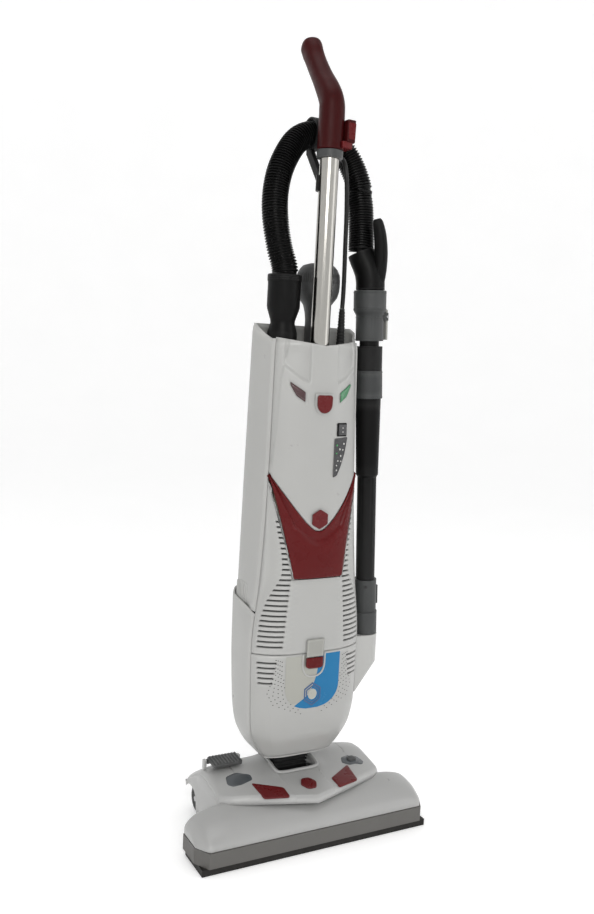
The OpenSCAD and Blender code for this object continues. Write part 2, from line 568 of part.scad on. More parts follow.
// ---- Wand, along its own leaning axis ----
module lathe() rotate_extrude($fn = fine) children();
module wand_tube() color([0.06, 0.06, 0.06]) on_wand() lathe()
  polygon([[12.5, 36], [wand_r, 36], [wand_r, 252], [17.5, 256], [19.5, 375], [18, 375], [18, 418], [20.5, 418],
           [20.5, 455], [wand_r, 455], [wand_r, 500], [12.5, 500]]);
module wand_collars() color([0.32, 0.33, 0.33]) on_wand() difference() {
  union() {
    lathe() polygon([[18.05, 375.3], [21.5, 375.3], [21, 417.7], [18.05, 417.7]]);
    lathe() polygon([[wand_r + 0.05, 463], [21.2, 463], [21.2, 502], [25, 509], [25, 539], [18, 539],
                     [18, 505], [wand_r + 0.05, 501]]);
    for (y = [-9.6, 7.4]) translate([20, y, 494]) cube([8, 2.2, 12]);
  }
  translate([26.8, -12, 500]) rotate([-90, 0, 0]) cylinder(r = 2.05, h = 24, $fn = fine);
}
module wand_latch() color([0.58, 0.58, 0.55]) on_wand() {
  translate([25.5, -7, 465]) cube([3, 14, 46]);
  translate([26.8, -9.5, 500]) rotate([-90, 0, 0]) cylinder(r = 2, h = 19, $fn = fine);
}
module wand_socket() color([0.32, 0.33, 0.33]) on_wand() difference() {
  union() {
    translate([0, 0, 1]) cylinder(r = 19.5, h = 35, $fn = fine);
    translate([0, 0, 36]) cylinder(r = 18, h = 52, $fn = fine);
    translate([16, -5, 46]) cube([5, 10, 30]);
  }
  translate([0, 0, 36]) cylinder(r = wand_r + 0.08, h = 60, $fn = fine);
  translate([0, 0, -1]) cylinder(r = 12, h = 60, $fn = fine);
}
module dusting_brush() color([0.05, 0.05, 0.05]) translate([17, 31, 0]) lathe()
  polygon([[13.95, shelf_z + 0.4], [17, shelf_z + 0.4], [17, 786], [20, 800], [31, 815], [33.3, 830], [32.5, 848],
           [25, 860], [0.01, 864], [0.01, 784], [13.95, 784]]);
module casing_screws() color([0.7, 0.7, 0.72])
  for (x = [-60, 60]) for (z = [420, 560, 700])
    translate([x, upper_back + 0.6, z]) rotate([-90, 0, 0]) cylinder(r = 3.5, h = 1.5, $fn = fine);

sole_plate();
bumper_band();
front_hood();
rear_deck();
deck_trim();
belt_window();
brush_motor();
motor_pulley();
drive_belt();
brush_core();
brush_bristles();
wheel_axles();
left_wheel();
right_wheel();
release_pedal();
height_slider();
recline_pin();
swivel_neck();
lower_casing();
lower_cover();
emblem_panel();
latch_slider();
latch_key();
vent_cover();
exhaust_filter();
suction_motor();
motor_seals();
rear_casing();
top_deck();
dust_bag();
bag_holder();
front_door();
chevron_trim();
front_badge();
left_lens();
right_lens();
control_panel();
rocker_switch();
release_button();
handle_tube();
tube_ring();
grip();
cord_clip();
cord_hook();
strain_relief();
power_cord();
cord_coil();
power_plug();
hose_cuff();
suction_hose();
hose_leg();
hose_hook();
hose_grip();
wand_collars();
wand_latch();
wand_tube();
wand_port();
wand_socket();
dusting_brush();
casing_screws();
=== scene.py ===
import math
import bpy
import bmesh
from mathutils import Matrix, Vector


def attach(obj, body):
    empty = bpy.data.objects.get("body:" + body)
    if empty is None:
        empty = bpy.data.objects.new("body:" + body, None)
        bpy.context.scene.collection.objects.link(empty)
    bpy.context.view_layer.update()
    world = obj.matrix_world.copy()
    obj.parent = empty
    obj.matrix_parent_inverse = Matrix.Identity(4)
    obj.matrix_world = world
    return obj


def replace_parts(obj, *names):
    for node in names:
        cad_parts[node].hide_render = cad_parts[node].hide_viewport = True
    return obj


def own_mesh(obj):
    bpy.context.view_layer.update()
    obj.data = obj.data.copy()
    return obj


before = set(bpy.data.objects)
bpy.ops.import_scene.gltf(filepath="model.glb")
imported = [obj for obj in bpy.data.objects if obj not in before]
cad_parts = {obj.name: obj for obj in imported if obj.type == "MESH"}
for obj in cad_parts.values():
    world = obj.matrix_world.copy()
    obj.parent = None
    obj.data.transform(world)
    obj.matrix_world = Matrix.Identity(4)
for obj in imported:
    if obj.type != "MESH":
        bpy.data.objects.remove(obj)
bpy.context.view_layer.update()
MM = 0.001

# ------------------------------------------------------------------ camera
def look_camera():
    data = bpy.data.cameras.new("camera")
    data.sensor_fit = "AUTO"
    data.sensor_width = 36.0
    data.lens = 36.27
    data.clip_start = 0.05
    data.clip_end = 60.0
    cam = bpy.data.objects.new("camera", data)
    bpy.context.scene.collection.objects.link(cam)
    pitch, roll, turn = math.radians(6.537), math.radians(2.977), math.radians(61.71)
    forward = Vector((math.cos(turn) * math.cos(pitch), math.sin(turn) * math.cos(pitch), -math.sin(pitch)))
    level = Vector((math.sin(turn), -math.cos(turn), 0.0))
    upright = level.cross(forward)
    right = math.cos(roll) * level + math.sin(roll) * upright
    up = -math.sin(roll) * level + math.cos(roll) * upright
    m = Matrix((right, up, -forward)).transposed().to_4x4()
    m.translation = Vector((-0.6680, -1.2035, 0.7309))
    cam.matrix_world = m
    bpy.context.scene.camera = cam

look_camera()

# ------------------------------------------------------------------ materials
def nodes_of(name):
    m = bpy.data.materials.new(name)
    m.use_nodes = True
    return m, m.node_tree.nodes, m.node_tree.links, m.node_tree.nodes["Principled BSDF"]

def noise(nd, lk, scale, detail=4.0, rough=0.55):
    tc = nd.new("ShaderNodeTexCoord")
    n = nd.new("ShaderNodeTexNoise")
    n.inputs["Scale"].default_value = scale
    n.inputs["Detail"].default_value = detail
    n.inputs["Roughness"].default_value = rough
    lk.new(tc.outputs["Object"], n.inputs["Vector"])
    return n

def ramp(nd, lk, source, stops):
    r = nd.new("ShaderNodeValToRGB")
    els = r.color_ramp.elements
    els[0].position, els[0].color = stops[0][0], stops[0][1]
    els[1].position, els[1].color = stops[-1][0], stops[-1][1]
    for pos, col in stops[1:-1]:
        e = els.new(pos)
        e.color = col
    lk.new(source, r.inputs["Fac"])
    return r

def grey(v):
    return (v, v, v, 1.0)

def shade(c, k):
    return (c[0] * k, c[1] * k, c[2] * k, 1.0)

def surface(name, color, rough=0.4, spread=0.08, grain=900.0, grain_depth=0.12, mottle=0.05,
            wear=0.35, metallic=0.0, coat=0.0, specular=0.5, wear_color=None):
    """Moulded, painted or metal surface: mottled colour, worn edges, uneven gloss and a fine grain."""
    m, nd, lk, p = nodes_of(name)
    big = noise(nd, lk, 7.0, 5.0)
    base = ramp(nd, lk, big.outputs["Fac"], [(0.3, shade(color, 1 - mottle)), (0.7, shade(color,
            1 + mottle))])
    geo = nd.new("ShaderNodeNewGeometry")
    edge = ramp(nd, lk, geo.outputs["Pointiness"], [(0.515, grey(0.0)), (0.56, grey(wear))])
    mix = nd.new("ShaderNodeMix")
    mix.data_type = "RGBA"
    lk.new(edge.outputs["Color"], mix.inputs["Factor"])
    lk.new(base.outputs["Color"], mix.inputs[6])
    top = wear_color or [min(1.0, c * 1.35 + 0.05) for c in color[:3]]
    mix.inputs[7].default_value = (top[0], top[1], top[2], 1.0)
    lk.new(mix.outputs[2], p.inputs["Base Color"])
    mid = noise(nd, lk, 38.0, 6.0, 0.65)
    rr = ramp(nd, lk, mid.outputs["Fac"], [(0.3, grey(max(0.02, rough - spread))), (0.72,
            grey(rough + spread))])
    lk.new(rr.outputs["Color"], p.inputs["Roughness"])
    fine = noise(nd, lk, grain, 2.0)
    bump = nd.new("ShaderNodeBump")
    bump.inputs["Strength"].default_value = grain_depth
    bump.inputs["Distance"].default_value = 0.0006
    lk.new(fine.outputs["Fac"], bump.inputs["Height"])
    lk.new(bump.outputs["Normal"], p.inputs["Normal"])
    p.inputs["Metallic"].default_value = metallic
    p.inputs["Coat Weight"].default_value = coat
    p.inputs["Coat Roughness"].default_value = 0.12
    p.inputs["Specular IOR Level"].default_value = specular
    return m

def brushed(name, color, axis, rough=0.2):
    """Drawn or turned metal with fine lines along one axis."""
    m, nd, lk, p = nodes_of(name)
    tc = nd.new("ShaderNodeTexCoord")
    mp = nd.new("ShaderNodeMapping")
    scale = [700.0, 700.0, 700.0]
    scale[axis] = 9.0
    mp.inputs["Scale"].default_value = scale
    n = nd.new("ShaderNodeTexNoise")
    n.inputs["Scale"].default_value = 1.0
    n.inputs["Detail"].default_value = 3.0
    lk.new(tc.outputs["Object"], mp.inputs["Vector"])
    lk.new(mp.outputs["Vector"], n.inputs["Vector"])
    rr = ramp(nd, lk, n.outputs["Fac"], [(0.3, grey(max(0.03, rough - 0.07))), (0.7, grey(rough + 0.09))])
    lk.new(rr.outputs["Color"], p.inputs["Roughness"])
    cc = ramp(nd, lk, n.outputs["Fac"], [(0.25, shade(color, 0.93)), (0.75, shade(color, 1.04))])
    lk.new(cc.outputs["Color"], p.inputs["Base Color"])
    bump = nd.new("ShaderNodeBump")
    bump.inputs["Strength"].default_value = 0.05
    bump.inputs["Distance"].default_value = 0.0003
    lk.new(n.outputs["Fac"], bump.inputs["Height"])
    lk.new(bump.outputs["Normal"], p.inputs["Normal"])
    p.inputs["Metallic"].default_value = 1.0
    return m

M = {
    "body": surface("body_plastic", (0.345, 0.345, 0.335), 0.34, 0.07, 1100, 0.06, 0.025, 0.25, coat=0.15),
    "hood": surface("hood_paint", (0.325, 0.325, 0.32), 0.33, 0.06, 1500, 0.05, 0.03, 0.25, coat=0.2),
    "maroon": surface("maroon_plastic", (0.088, 0.0055, 0.006), 0.30, 0.08, 1300, 0.10, 0.08, 0.15,
    specular=0.16,
                      wear_color=(0.20, 0.03, 0.035)),
    "grip": surface("grip_plastic", (0.034, 0.0028, 0.003), 0.38, 0.09, 850, 0.30, 0.12, 0.1, specular=0.1,
                    wear_color=(0.16, 0.025, 0.028)),
    "black": surface("black_plastic", (0.004, 0.004, 0.004), 0.38, 0.08, 950, 0.18, 0.15, 0.2,
    specular=0.10,
                     wear_color=(0.055, 0.055, 0.055)),
    "hose": surface("hose_plastic", (0.002, 0.002, 0.002), 0.30, 0.09, 700, 0.15, 0.2, 0.2, specular=0.08,
                    wear_color=(0.03, 0.03, 0.03)),
    "rubber": surface("rubber_black", (0.007, 0.007, 0.007), 0.6, 0.08, 1400, 0.25, 0.15, 0.3, specular=0.2,
                      wear_color=(0.05, 0.05, 0.05)),
    "cord": surface("cord_sheath", (0.006, 0.006, 0.006), 0.44, 0.06, 1800, 0.12, 0.15, 0.3, specular=0.22,
                    wear_color=(0.04, 0.04, 0.04)),
    "dark": surface("dark_grey_plastic", (0.040, 0.041, 0.041), 0.48, 0.08, 900, 0.25, 0.1, 0.4),
    "collar": surface("collar_grey_plastic", (0.032, 0.034, 0.034), 0.44, 0.07, 1000, 0.18, 0.06, 0.2,
    specular=0.3),
    "light": surface("light_grey_plastic", (0.27, 0.27, 0.25), 0.40, 0.07, 1000, 0.12, 0.05, 0.3),
    "band": surface("bumper_vinyl", (0.066, 0.063, 0.058), 0.55, 0.07, 700, 0.28, 0.08, 0.35),
    "sole": surface("sole_plastic", (0.007, 0.006, 0.005), 0.5, 0.1, 600, 0.3, 0.2, 0.25, specular=0.12),
    "window": surface("smoke_window", (0.045, 0.052, 0.058), 0.16, 0.05, 500, 0.03, 0.2, 0.2, coat=0.6),
    "blue": surface("panel_blue", (0.010, 0.14, 0.31), 0.25, 0.05, 900, 0.05, 0.05, 0.15, specular=0.25),
    "silver": surface("panel_silver", (0.33, 0.33, 0.30), 0.32, 0.06, 500, 0.10, 0.05, 0.2, metallic=0.35),
    "navy": surface("panel_navy", (0.01, 0.06, 0.17), 0.3, 0.05, 900, 0.05, 0.1, 0.15, coat=0.4),
    "screen": surface("panel_black", (0.012, 0.012, 0.014), 0.18, 0.05, 700, 0.03, 0.2, 0.3, coat=0.5),
    "print": surface("panel_print", (0.42, 0.42, 0.40), 0.4, 0.05, 900, 0.05, 0.05, 0.1),
    "led": surface("led_green", (0.03, 0.22, 0.06), 0.25, 0.05, 900, 0.05, 0.1, 0.1, coat=0.4),
    "lens_red": surface("lens_red", (0.035, 0.006, 0.008), 0.2, 0.05, 260, 0.25, 0.25, 0.2, coat=0.6),
    "lens_green": surface("lens_green", (0.020, 0.150, 0.055), 0.2, 0.05, 260, 0.25, 0.25, 0.2, coat=0.6),
    "badge": surface("badge_red", (0.095, 0.005, 0.006), 0.28, 0.06, 1000, 0.08, 0.08, 0.2, specular=0.25),
    "slot": surface("slot_shadow", (0.020, 0.020, 0.020), 0.8, 0.1, 500, 0.3, 0.3, 0.0),
    "bristle": surface("bristle_nylon", (0.015, 0.015, 0.015), 0.6, 0.1, 2500, 0.8, 0.3, 0.5),
    "filter": surface("filter_felt", (0.62, 0.61, 0.56), 0.9, 0.05, 1500, 0.7, 0.06, 0.0),
    "bag": surface("bag_paper", (0.60, 0.55, 0.44), 0.85, 0.06, 500, 0.5, 0.08, 0.2),
    "motor": surface("motor_cast", (0.30, 0.31, 0.33), 0.5, 0.1, 400, 0.4, 0.1, 0.4, metallic=0.8),
    "chrome": brushed("tube_chrome", (0.40, 0.39, 0.365), 2, 0.13),
    "steel": brushed("steel_turned", (0.42, 0.42, 0.43), 0, 0.28),
    "pins": brushed("pin_brass", (0.45, 0.34, 0.16), 2, 0.3),
}

# ------------------------------------------------------------------ helpers
def make(name, verts, faces, mats, body, face_mats=None, smooth=True, angle=38.0, slot=None):
    me = bpy.data.meshes.new(name)
    me.from_pydata([(v[0] * MM, v[1] * MM, v[2] * MM) for v in verts], [], faces)
    for mt in (mats if isinstance(mats, (list, tuple)) else [mats]):
        me.materials.append(M[mt])
    if face_mats:
        me.polygons.foreach_set("material_index", face_mats)
    me.validate()
    if smooth:
        me.polygons.foreach_set("use_smooth", [True] * len(me.polygons))
        me.set_sharp_from_angle(angle=math.radians(angle))
    o = bpy.data.objects.new(name, me)
    bpy.context.scene.collection.objects.link(o)
    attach(o, body)
    return o

def grid_faces(rows, cols, wrap=False):
    out = []
    for j in range(rows - 1):
        for i in range(cols if wrap else cols - 1):
            k = (i + 1) % cols
            out.append((j * cols + i, j * cols + k, (j + 1) * cols + k, (j + 1) * cols + i))
    return out

def thicken(o, mm, offset=-1.0):
    s = o.modifiers.new("wall", "SOLIDIFY")
    s.thickness = mm * MM
    s.offset = offset
    s.use_even_offset = False
    return o

def soften(o, mm, segments=2, angle=35.0):
    b = o.modifiers.new("edge", "BEVEL")
    b.width = mm * MM
    b.segments = segments
    b.limit_method = "ANGLE"
    b.angle_limit = math.radians(angle)
    b.harden_normals = False
    return o

def outward(o):
    bm = bmesh.new()
    bm.from_mesh(o.data)
    bmesh.ops.recalc_face_normals(bm, faces=bm.faces)
    bm.to_mesh(o.data)
    bm.free()
    return o

def curve_of(rows):
    """Smooth curve through (x, value) pairs."""
    xs = [r[0] for r in rows]
    ys = [r[1] for r in rows]
    n = len(xs)
    d = [(ys[i + 1] - ys[i]) / (xs[i + 1] - xs[i]) for i in range(n - 1)]
    m = [d[0]] + [0.0 if d[i - 1] * d[i] <= 0 else 2 * d[i - 1] * d[i] / (d[i - 1] + d[i])
                  for i in range(1, n - 1)] + [d[-1]]
    def f(x):
        if x <= xs[0]:
            return ys[0]
        if x >= xs[-1]:
            return ys[-1]
        i = max(k for k in range(n - 1) if xs[k] <= x)
        h = xs[i + 1] - xs[i]
        t = (x - xs[i]) / h
        return ((2 * t ** 3 - 3 * t ** 2 + 1) * ys[i] + (t ** 3 - 2 * t ** 2 + t) * h * m[i]
                + (-2 * t ** 3 + 3 * t ** 2) * ys[i + 1] + (t ** 3 - t ** 2) * h * m[i + 1])
    return f

def mix(a, b, t):
    return a + (b - a) * t

def step(a, b, x):
    t = min(1.0, max(0.0, (x - a) / (b - a)))
    return t * t * (3 - 2 * t)

def spline(points, steps):
    out = []
    n = len(points)
    for i in range(n - 1):
        a, b, c, d = (Vector(points[max(i - 1, 0)]), Vector(points[i]), Vector(points[i + 1]),
                      Vector(points[min(i + 2, n - 1)]))
        for s in range(steps):
            t = s / steps
            out.append(0.5 * (2 * b + (c - a) * t + (2 * a - 5 * b + 4 * c - d) * t * t
                              + (3 * b - a - 3 * c + d) * t ** 3))
    out.append(Vector(points[-1]))
    return out

def frames(path):
    n = len(path)
    tans = [(path[min(i + 1, n - 1)] - path[max(i - 1, 0)]).normalized() for i in range(n)]
    side = tans[0].cross(Vector((0.2, 1.0, 0.1))).normalized()
    out = []
    for t in tans:
        side = (side - side.dot(t) * t).normalized()
        out.append((side, side.cross(t), t))
    return out

def sweep(name, path, profile, mats, body, sides=24, caps=True, **kw):
    """Tube along path; profile(i, angle) gives the radii along side and up, in mm."""
    fr = frames(path)
    verts = []
    for i, p in enumerate(path):
        s, u, _ = fr[i]
        for k in range(sides):
            a = 2 * math.pi * k / sides
            ra, rb = profile(i, a)
            verts.append(p + ra * math.cos(a) * s + rb * math.sin(a) * u)
    faces = grid_faces(len(path), sides, True)
    if caps:
        faces += [tuple(range(sides - 1, -1, -1)), tuple((len(path) - 1) * sides + k for k in range(sides))]
    return outward(make(name, verts, faces, mats, body, **kw))

def lathe(name, origin, axis, profile, mats, body, sides=64, face_mats=None, **kw):
    """profile is a list of (radius, height) in mm along axis from origin."""
    z = Vector(axis).normalized()
    x = z.cross(Vector((0.31, 0.9, 0.2))).normalized()
    y = z.cross(x)
    verts = []
    for r, h in profile:
        for k in range(sides):
            a = 2 * math.pi * k / sides
            verts.append(Vector(origin) + z * h + x * (r * math.cos(a)) + y * (r * math.sin(a)))
    faces = grid_faces(len(profile), sides, True)
    return outward(make(name, verts, faces, mats, body, **kw))

def prism(name, outline, low, high, mats, body, bevel=0.8, to3=None, **kw):
    """Closed plate from an outline; to3 places (x, y, height)."""
    n = len(outline)
    place = to3 or (lambda x, y, h: (x, y, h))
    verts = [place(x, y, low) for x, y in outline] + [place(x, y, high) for x, y in outline]
    faces = [tuple(range(n - 1, -1, -1)), tuple(range(n, 2 * n))]
    faces += [(i, (i + 1) % n, n + (i + 1) % n, n + i) for i in range(n)]
    o = outward(make(name, verts, faces, mats, body, **kw))
    if bevel:
        soften(o, bevel, 3)
    return o

def block(name, low, high, mats, body, bevel=1.0, **kw):
    return prism(name, [(low[0], low[1]), (high[0], low[1]), (high[0], high[1]), (low[0], high[1])],
                 low[2], high[2], mats, body, bevel, **kw)

def rounded(points, r, seg=5):
    """Outline with its corners rounded."""
    out = []
    n = len(points)
    for i in range(n):
        p = Vector(points[i])
        a = (Vector(points[i - 1]) - p)
        b = (Vector(points[(i + 1) % n]) - p)
        c = min(r, a.length * 0.45, b.length * 0.45)
        p0, p1 = p + a.normalized() * c, p + b.normalized() * c
        for k in range(seg + 1):
            t = k / seg
            q = (1 - t) ** 2 * p0 + 2 * t * (1 - t) * p + t * t * p1
            out.append((q.x, q.y))
    return out

def dress(node, mat, bevel=0.0, angle=30.0):
    """Gives a CAD node its material, smooth shading and softened edges."""
    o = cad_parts[node]
    for s in range(max(1, len(o.material_slots))):
        if len(o.material_slots) == 0:
            o.data.materials.append(M[mat])
        else:
            o.material_slots[s].material = M[mat]
    o.data.polygons.foreach_set("use_smooth", [True] * len(o.data.polygons))
    o.data.set_sharp_from_angle(angle=math.radians(angle))
    if bevel:
        soften(o, bevel, 2, 40.0)
    return o

UP = "upper_unit"
HEAD = "floor_head"

# ------------------------------------------------------------------ cords
CORD_D = 7.0
cord_points = [(51, 13, 798.4), (51, 12, 820), (49, 9, 850), (45, 4, 890), (40, -3, 935), (34, -9, 978),
               (31, -8, 1000), (31, 0, 1012), (33, 12, 1015), (36, 26, 1006), (40, 40, 986), (44, 52, 958),
               (47, 60, 925), (48, 63, 880), (48, 63, 830), (48, 63, 780), (47, 64.6, 745),
               (49.5, 64.4, 726),
               (55, 64.4, 711), (63, 64.4, 700), (71, 64.4, 692.5)]
COIL = (25.0, 77.0, 620.0)

def coil_path():
    """Turns of the stored lead: layers side by side across the ring's depth."""
    lanes = [-12.6, -4.2, 4.2, 12.6]
    rings = [76.0, 68.6, 61.2, 53.8]
    order = []
    for r_i, r in enumerate(rings):
        for l in (lanes if r_i % 2 == 0 else lanes[::-1]):
            order.append((r, l))
    pts = []
    steps = 26
    start = math.radians(44)
    turns = len(order)
    for i in range(turns * steps):
        f = i / steps
        k = int(f)
        t = f - k
        r0, l0 = order[k]
        r1, l1 = order[min(k + 1, turns - 1)]
        w = step(0.82, 1.0, t)
        r, l = mix(r0, r1, w), mix(l0, l1, w)
        a = start - 2 * math.pi * f
        wob = 0.35 * math.sin(5 * a + k)
        pts.append((COIL[0] + (r + wob) * math.cos(a), COIL[1] + l, COIL[2] + (r + wob) * math.sin(a)))
    return pts

def build_cord():
    strand = [tuple(p) for p in spline(cord_points[:-1], 3)]
    coil = coil_path()
    tail = [(25.0, 75.0, 562.0), (25.0, 77.0, 548.0), (25.0, 77.0, 540.0)]
    route = [Vector(p) for p in strand + coil]
    cu = bpy.data.curves.new("power_cord_run", "CURVE")
    cu.dimensions = "3D"
    cu.bevel_depth = CORD_D / 2 * MM
    cu.bevel_resolution = 3
    sp = cu.splines.new("POLY")
    pts = route + [Vector(p) for p in tail]
    sp.points.add(len(pts) - 1)
    for p, q in zip(sp.points, pts):
        p.co = (q.x * MM, q.y * MM, q.z * MM, 1.0)
    cu.materials.append(M["cord"])
    o = bpy.data.objects.new("power_cord_run", cu)
    bpy.context.scene.collection.objects.link(o)
    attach(o, UP)
    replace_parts(o, "power_cord", "cord_coil")
    length = sum((pts[i + 1] - pts[i]).length for i in range(len(pts) - 1)) * MM
    return o, length

cord, cord_length = build_cord()
print("cord length", round(cord_length, 3))

def build_plug():
    x, y = COIL[0], COIL[1]
    body = lathe("plug_body", (x, y, 0), (0, 0, 1),
                 [(0.01, 540.5), (3.6, 540.5), (4.0, 536), (4.4, 533), (4.0, 531), (4.8, 528), (5.0, 525),
                  (6.2, 522), (9.0, 519), (15.2, 516.5), (16.8, 513), (17.0, 501), (15.6, 497.4),
                  (0.01, 497.2)],
                 "rubber", UP, 40, slot="rubber_black")
    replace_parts(body, "power_plug")
    pins = []
    for i, s in enumerate((-9.5, 9.5)):
        pins.append(lathe(f"plug_pin_{i + 1}", (x + s, y, 0), (0, 0, 1),
                          [(0.01, 478.2), (1.4, 478.2), (2.3, 479.6), (2.4, 498), (0.01, 498)],
                          "pins", UP, 20, slot="steel"))
    return [body] + pins

plug = build_plug()
sweep("cord_tie", [Vector((COIL[0] + 64.5 + 18.5 * math.cos(a), COIL[1] + 19.0 * math.sin(a) * 0.93,
                                 COIL[2])) for a in [2 * math.pi * k / 24 for k in range(25)]],
            lambda i, a: (5.0, 0.9), "rubber", UP, 8, slot="rubber_black")

# Corrugated suction hose, and its last stretch above the hand grip.
hose_points = [(-49, 13, 841.4), (-49, 13, 846), (-51, 15, 858), (-57, 19, 880), (-63, 24, 918),
        (-63, 29, 952), (-57, 33, 984),
               (-46, 37, 1010), (-30, 42, 1034), (-14, 45, 1047), (4, 47, 1053), (24, 47, 1054),
               (45, 45, 1045),
               (63, 39, 1023), (74, 32.5, 998), (79, 29, 980), (79, 29, 975)]
leg_points = [(79, 29, 974.6), (79, 29, 970), (81, 26, 955), (82, 23, 930), (82, 20, 907), (81, 17.5, 890),
              (81, 17.5, 885.5)]
HOSE_R, RIDGE = 19.4, 3.9

def resample(path, gap):
    out = [path[0]]
    left = gap
    for a, b in zip(path[:-1], path[1:]):
        seg = (b - a).length
        at = left
        while at <= seg:
            out.append(a.lerp(b, at / seg))
            at += gap
        left = at - seg
    out.append(path[-1])
    return out

def ridged(name, points, body):
    fine = resample(spline(points, 12), RIDGE / 6)
    def radius(i, a):
        ph = (i % 6) / 6.0
        r = HOSE_R if ph < 0.3 else (HOSE_R - 2.3 if 0.45 < ph < 0.85 else HOSE_R - 0.9)
        return (r, r)
    o = sweep(name, fine, radius, "hose", body, 40, slot="black", angle=50)
    return o, fine

hose, hose_line = ridged("suction_hose_run", hose_points, UP)
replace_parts(hose, "suction_hose")
hose_length = sum((b - a).length for a, b in zip(hose_line[:-1], hose_line[1:])) * MM
[[c * MM for c in p] for p in hose_line[::6]]
leg, leg_line = ridged("hose_leg_run", leg_points, UP)
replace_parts(leg, "hose_leg")
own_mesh(leg)

# ------------------------------------------------------------------ body profile
front_w = curve_of([(113, 54), (135, 72), (165, 86), (200, 90), (290, 92), (400, 82), (515, 75), (748, 70)])
front_y = curve_of([(113, -22), (130, -30), (155, -41), (200, -49), (300, -48), (400, -48), (487, -42),
                    (656, -37), (748, -33)])
edge_y = curve_of([(113, -14), (200, -24), (300, -22), (400, -20), (515, -16), (748, -9)])
bow = curve_of([(113, 4), (300, 4), (450, 3), (748, 2.4)])
lower_w = curve_of([(113, 56), (135, 75), (165, 88), (200, 92), (300, 95), (375, 95)])
upper_w = curve_of([(340, 90), (515, 88), (772, 84)])
lower_back = curve_of([(113, 28), (140, 42), (200, 50), (375, 57)])
SEAM, DOOR_LOW, DOOR_TOP = 286.0, 400.0, 745.0

def front(u, z, t=0.0):
    """Point on the body's front, t proud of it, u from -1 at the left edge to 1 at the right."""
    w, yf = front_w(z), front_y(z)
    return (u * (w + 0.6 * t), yf + (edge_y(z) - yf) * abs(u) ** bow(z) - t, z)

def chevron_top(u):
    return 469 + 83 * ((math.sqrt(u * u + 0.01) - 0.1) / 0.905) ** 1.2

def chevron_low(u):
    d = max(0.0, abs(u) - 0.49) / 0.51
    return min(chevron_top(u) - 3, DOOR_LOW + 152 * d ** 0.9)

def rim_z(u):
    return DOOR_TOP + 5 * abs(u) - 4 * (1 - abs(u))

def skin(name, us, levels, stand, mats, body, pick=None, wall=2.4, **kw):
    """Front skin: levels(i) gives each column's heights, stand(u, z) how proud it stands."""
    cols = [levels(u) for u in us]
    rows = len(cols[0])
    verts = [front(us[i], cols[i][j], stand(us[i],
            cols[i][j])) for j in range(rows) for i in range(len(us))]
    faces = grid_faces(rows, len(us))
    fm = None
    if pick:
        fm = [pick(us[f[0] % len(us)], us[f[1] % len(us)],
                (verts[f[0]][2] + verts[f[2]][2]) / 2) for f in faces]
    o = make(name, verts, faces, mats, body, fm, **kw)
    if wall:
        thicken(o, wall)
    return o

def spread(a, b, n):
    return [mix(a, b, i / n) for i in range(n + 1)]

# ------------------------------------------------------------------ front door
brow_curve = curve_of([(0, 686), (24, 688), (38, 694), (50, 703), (62, 712), (72, 720)])
side_crease = curve_of([(552, 0.965), (627, 0.90), (687, 0.87), (711, 0.82), (740, 0.75)])

def brow(u):
    """Height of the ledge over the lamps."""
    return brow_curve(abs(u) * 72.0)

def lens_shape(u):
    a = abs(u)
    low = mix(658.5, 667, (a - 0.41) / 0.18) if a < 0.59 else mix(667, 683, (a - 0.59) / 0.125)
    return (low, mix(673, 687, (a - 0.41) / 0.305), (a - 0.41) / 0.305)

def door_stand(u, z):
    a = abs(u)
    panel = step(0.30, 0.36, a) * (1 - step(0.80, 0.86, a)) * step(brow(u) - 3, brow(u) + 3, z)
    d = -3.4 * panel * (1 - 0.5 * step(728, 742, z))
    crease = side_crease(z)
    d += 0.9 * (1 - step(0.30, 0.36, a)) * step(672, 690, z)
    d -= 1.6 * step(crease, crease + 0.025, a) * step(545, 575, z)
    lo, hi, t = lens_shape(u)
    if 0.36 < a < 0.76:
        d -= 1.3 * step(lo - 3, lo - 1, z) * (1 - step(hi + 1, hi + 3, z)) * step(0.36, 0.395,
                a) * (1 - step(0.72, 0.75, a))
    d -= 2.6 * step(736, 750, z) ** 2
    d -= 1.8 * step(0.93, 1.0, a)
    d -= 1.0 * (1 - step(0, 4, z - chevron_top(u)))
    return d

us_door = spread(-1, 1, 120)
door = skin("door_shell", us_door, lambda u: [mix(chevron_top(u) + 0.4, rim_z(u),
        (j / 110) ** 0.9) for j in range(111)],
            door_stand, "body", "door", slot="body_grey", angle=60)
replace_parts(door, "front_door")

def chevron_stand(u, z):
    top, low = chevron_top(u), chevron_low(u)
    t = (top - z) / max(1.0, top - low)
    crease = 0.17 + 0.10 * abs(u)
    nose = 3.2 * step(crease - 0.02, crease + 0.16, t) * (1 - 0.75 * step(0.75, 1.1, t)) * (1 - abs(u) ** 2)
    dip = -1.6 * step(0.03, crease, t) * (1 - step(crease, crease + 0.06, t))
    return 1.1 + nose + dip - 1.2 * step(0.0, 1.0, 1 - min(1.0, (top - z) / 1.6)) - 0.9 * (1 - step(0,
            1.6, z - low))

chevron = skin("chevron_shell", spread(-1, 1, 120),
               lambda u: [mix(chevron_low(u), chevron_top(u), j / 60) for j in range(61)],
               chevron_stand, "maroon", "door", slot="maroon", angle=60, wall=3.0)
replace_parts(chevron, "chevron_trim")

def on_front(z0, stand):
    """Places a plate drawn as (x, z) on the front at one height, standing proud."""
    y0 = front_y(z0)
    return lambda x, z, h: (x, y0 - stand - h, z)

hexagon = [(15 * math.cos(math.radians(a)), 487 + 15 * math.sin(math.radians(a))) for a in range(30, 390,
        60)]
badge = prism("door_badge", rounded(hexagon, 1.5, 3), 0, 2.2, "badge", "door", 0.9, on_front(487, 1.0),
        slot="badge_red")
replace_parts(badge, "front_badge")
soften(badge, 0.8, 3)

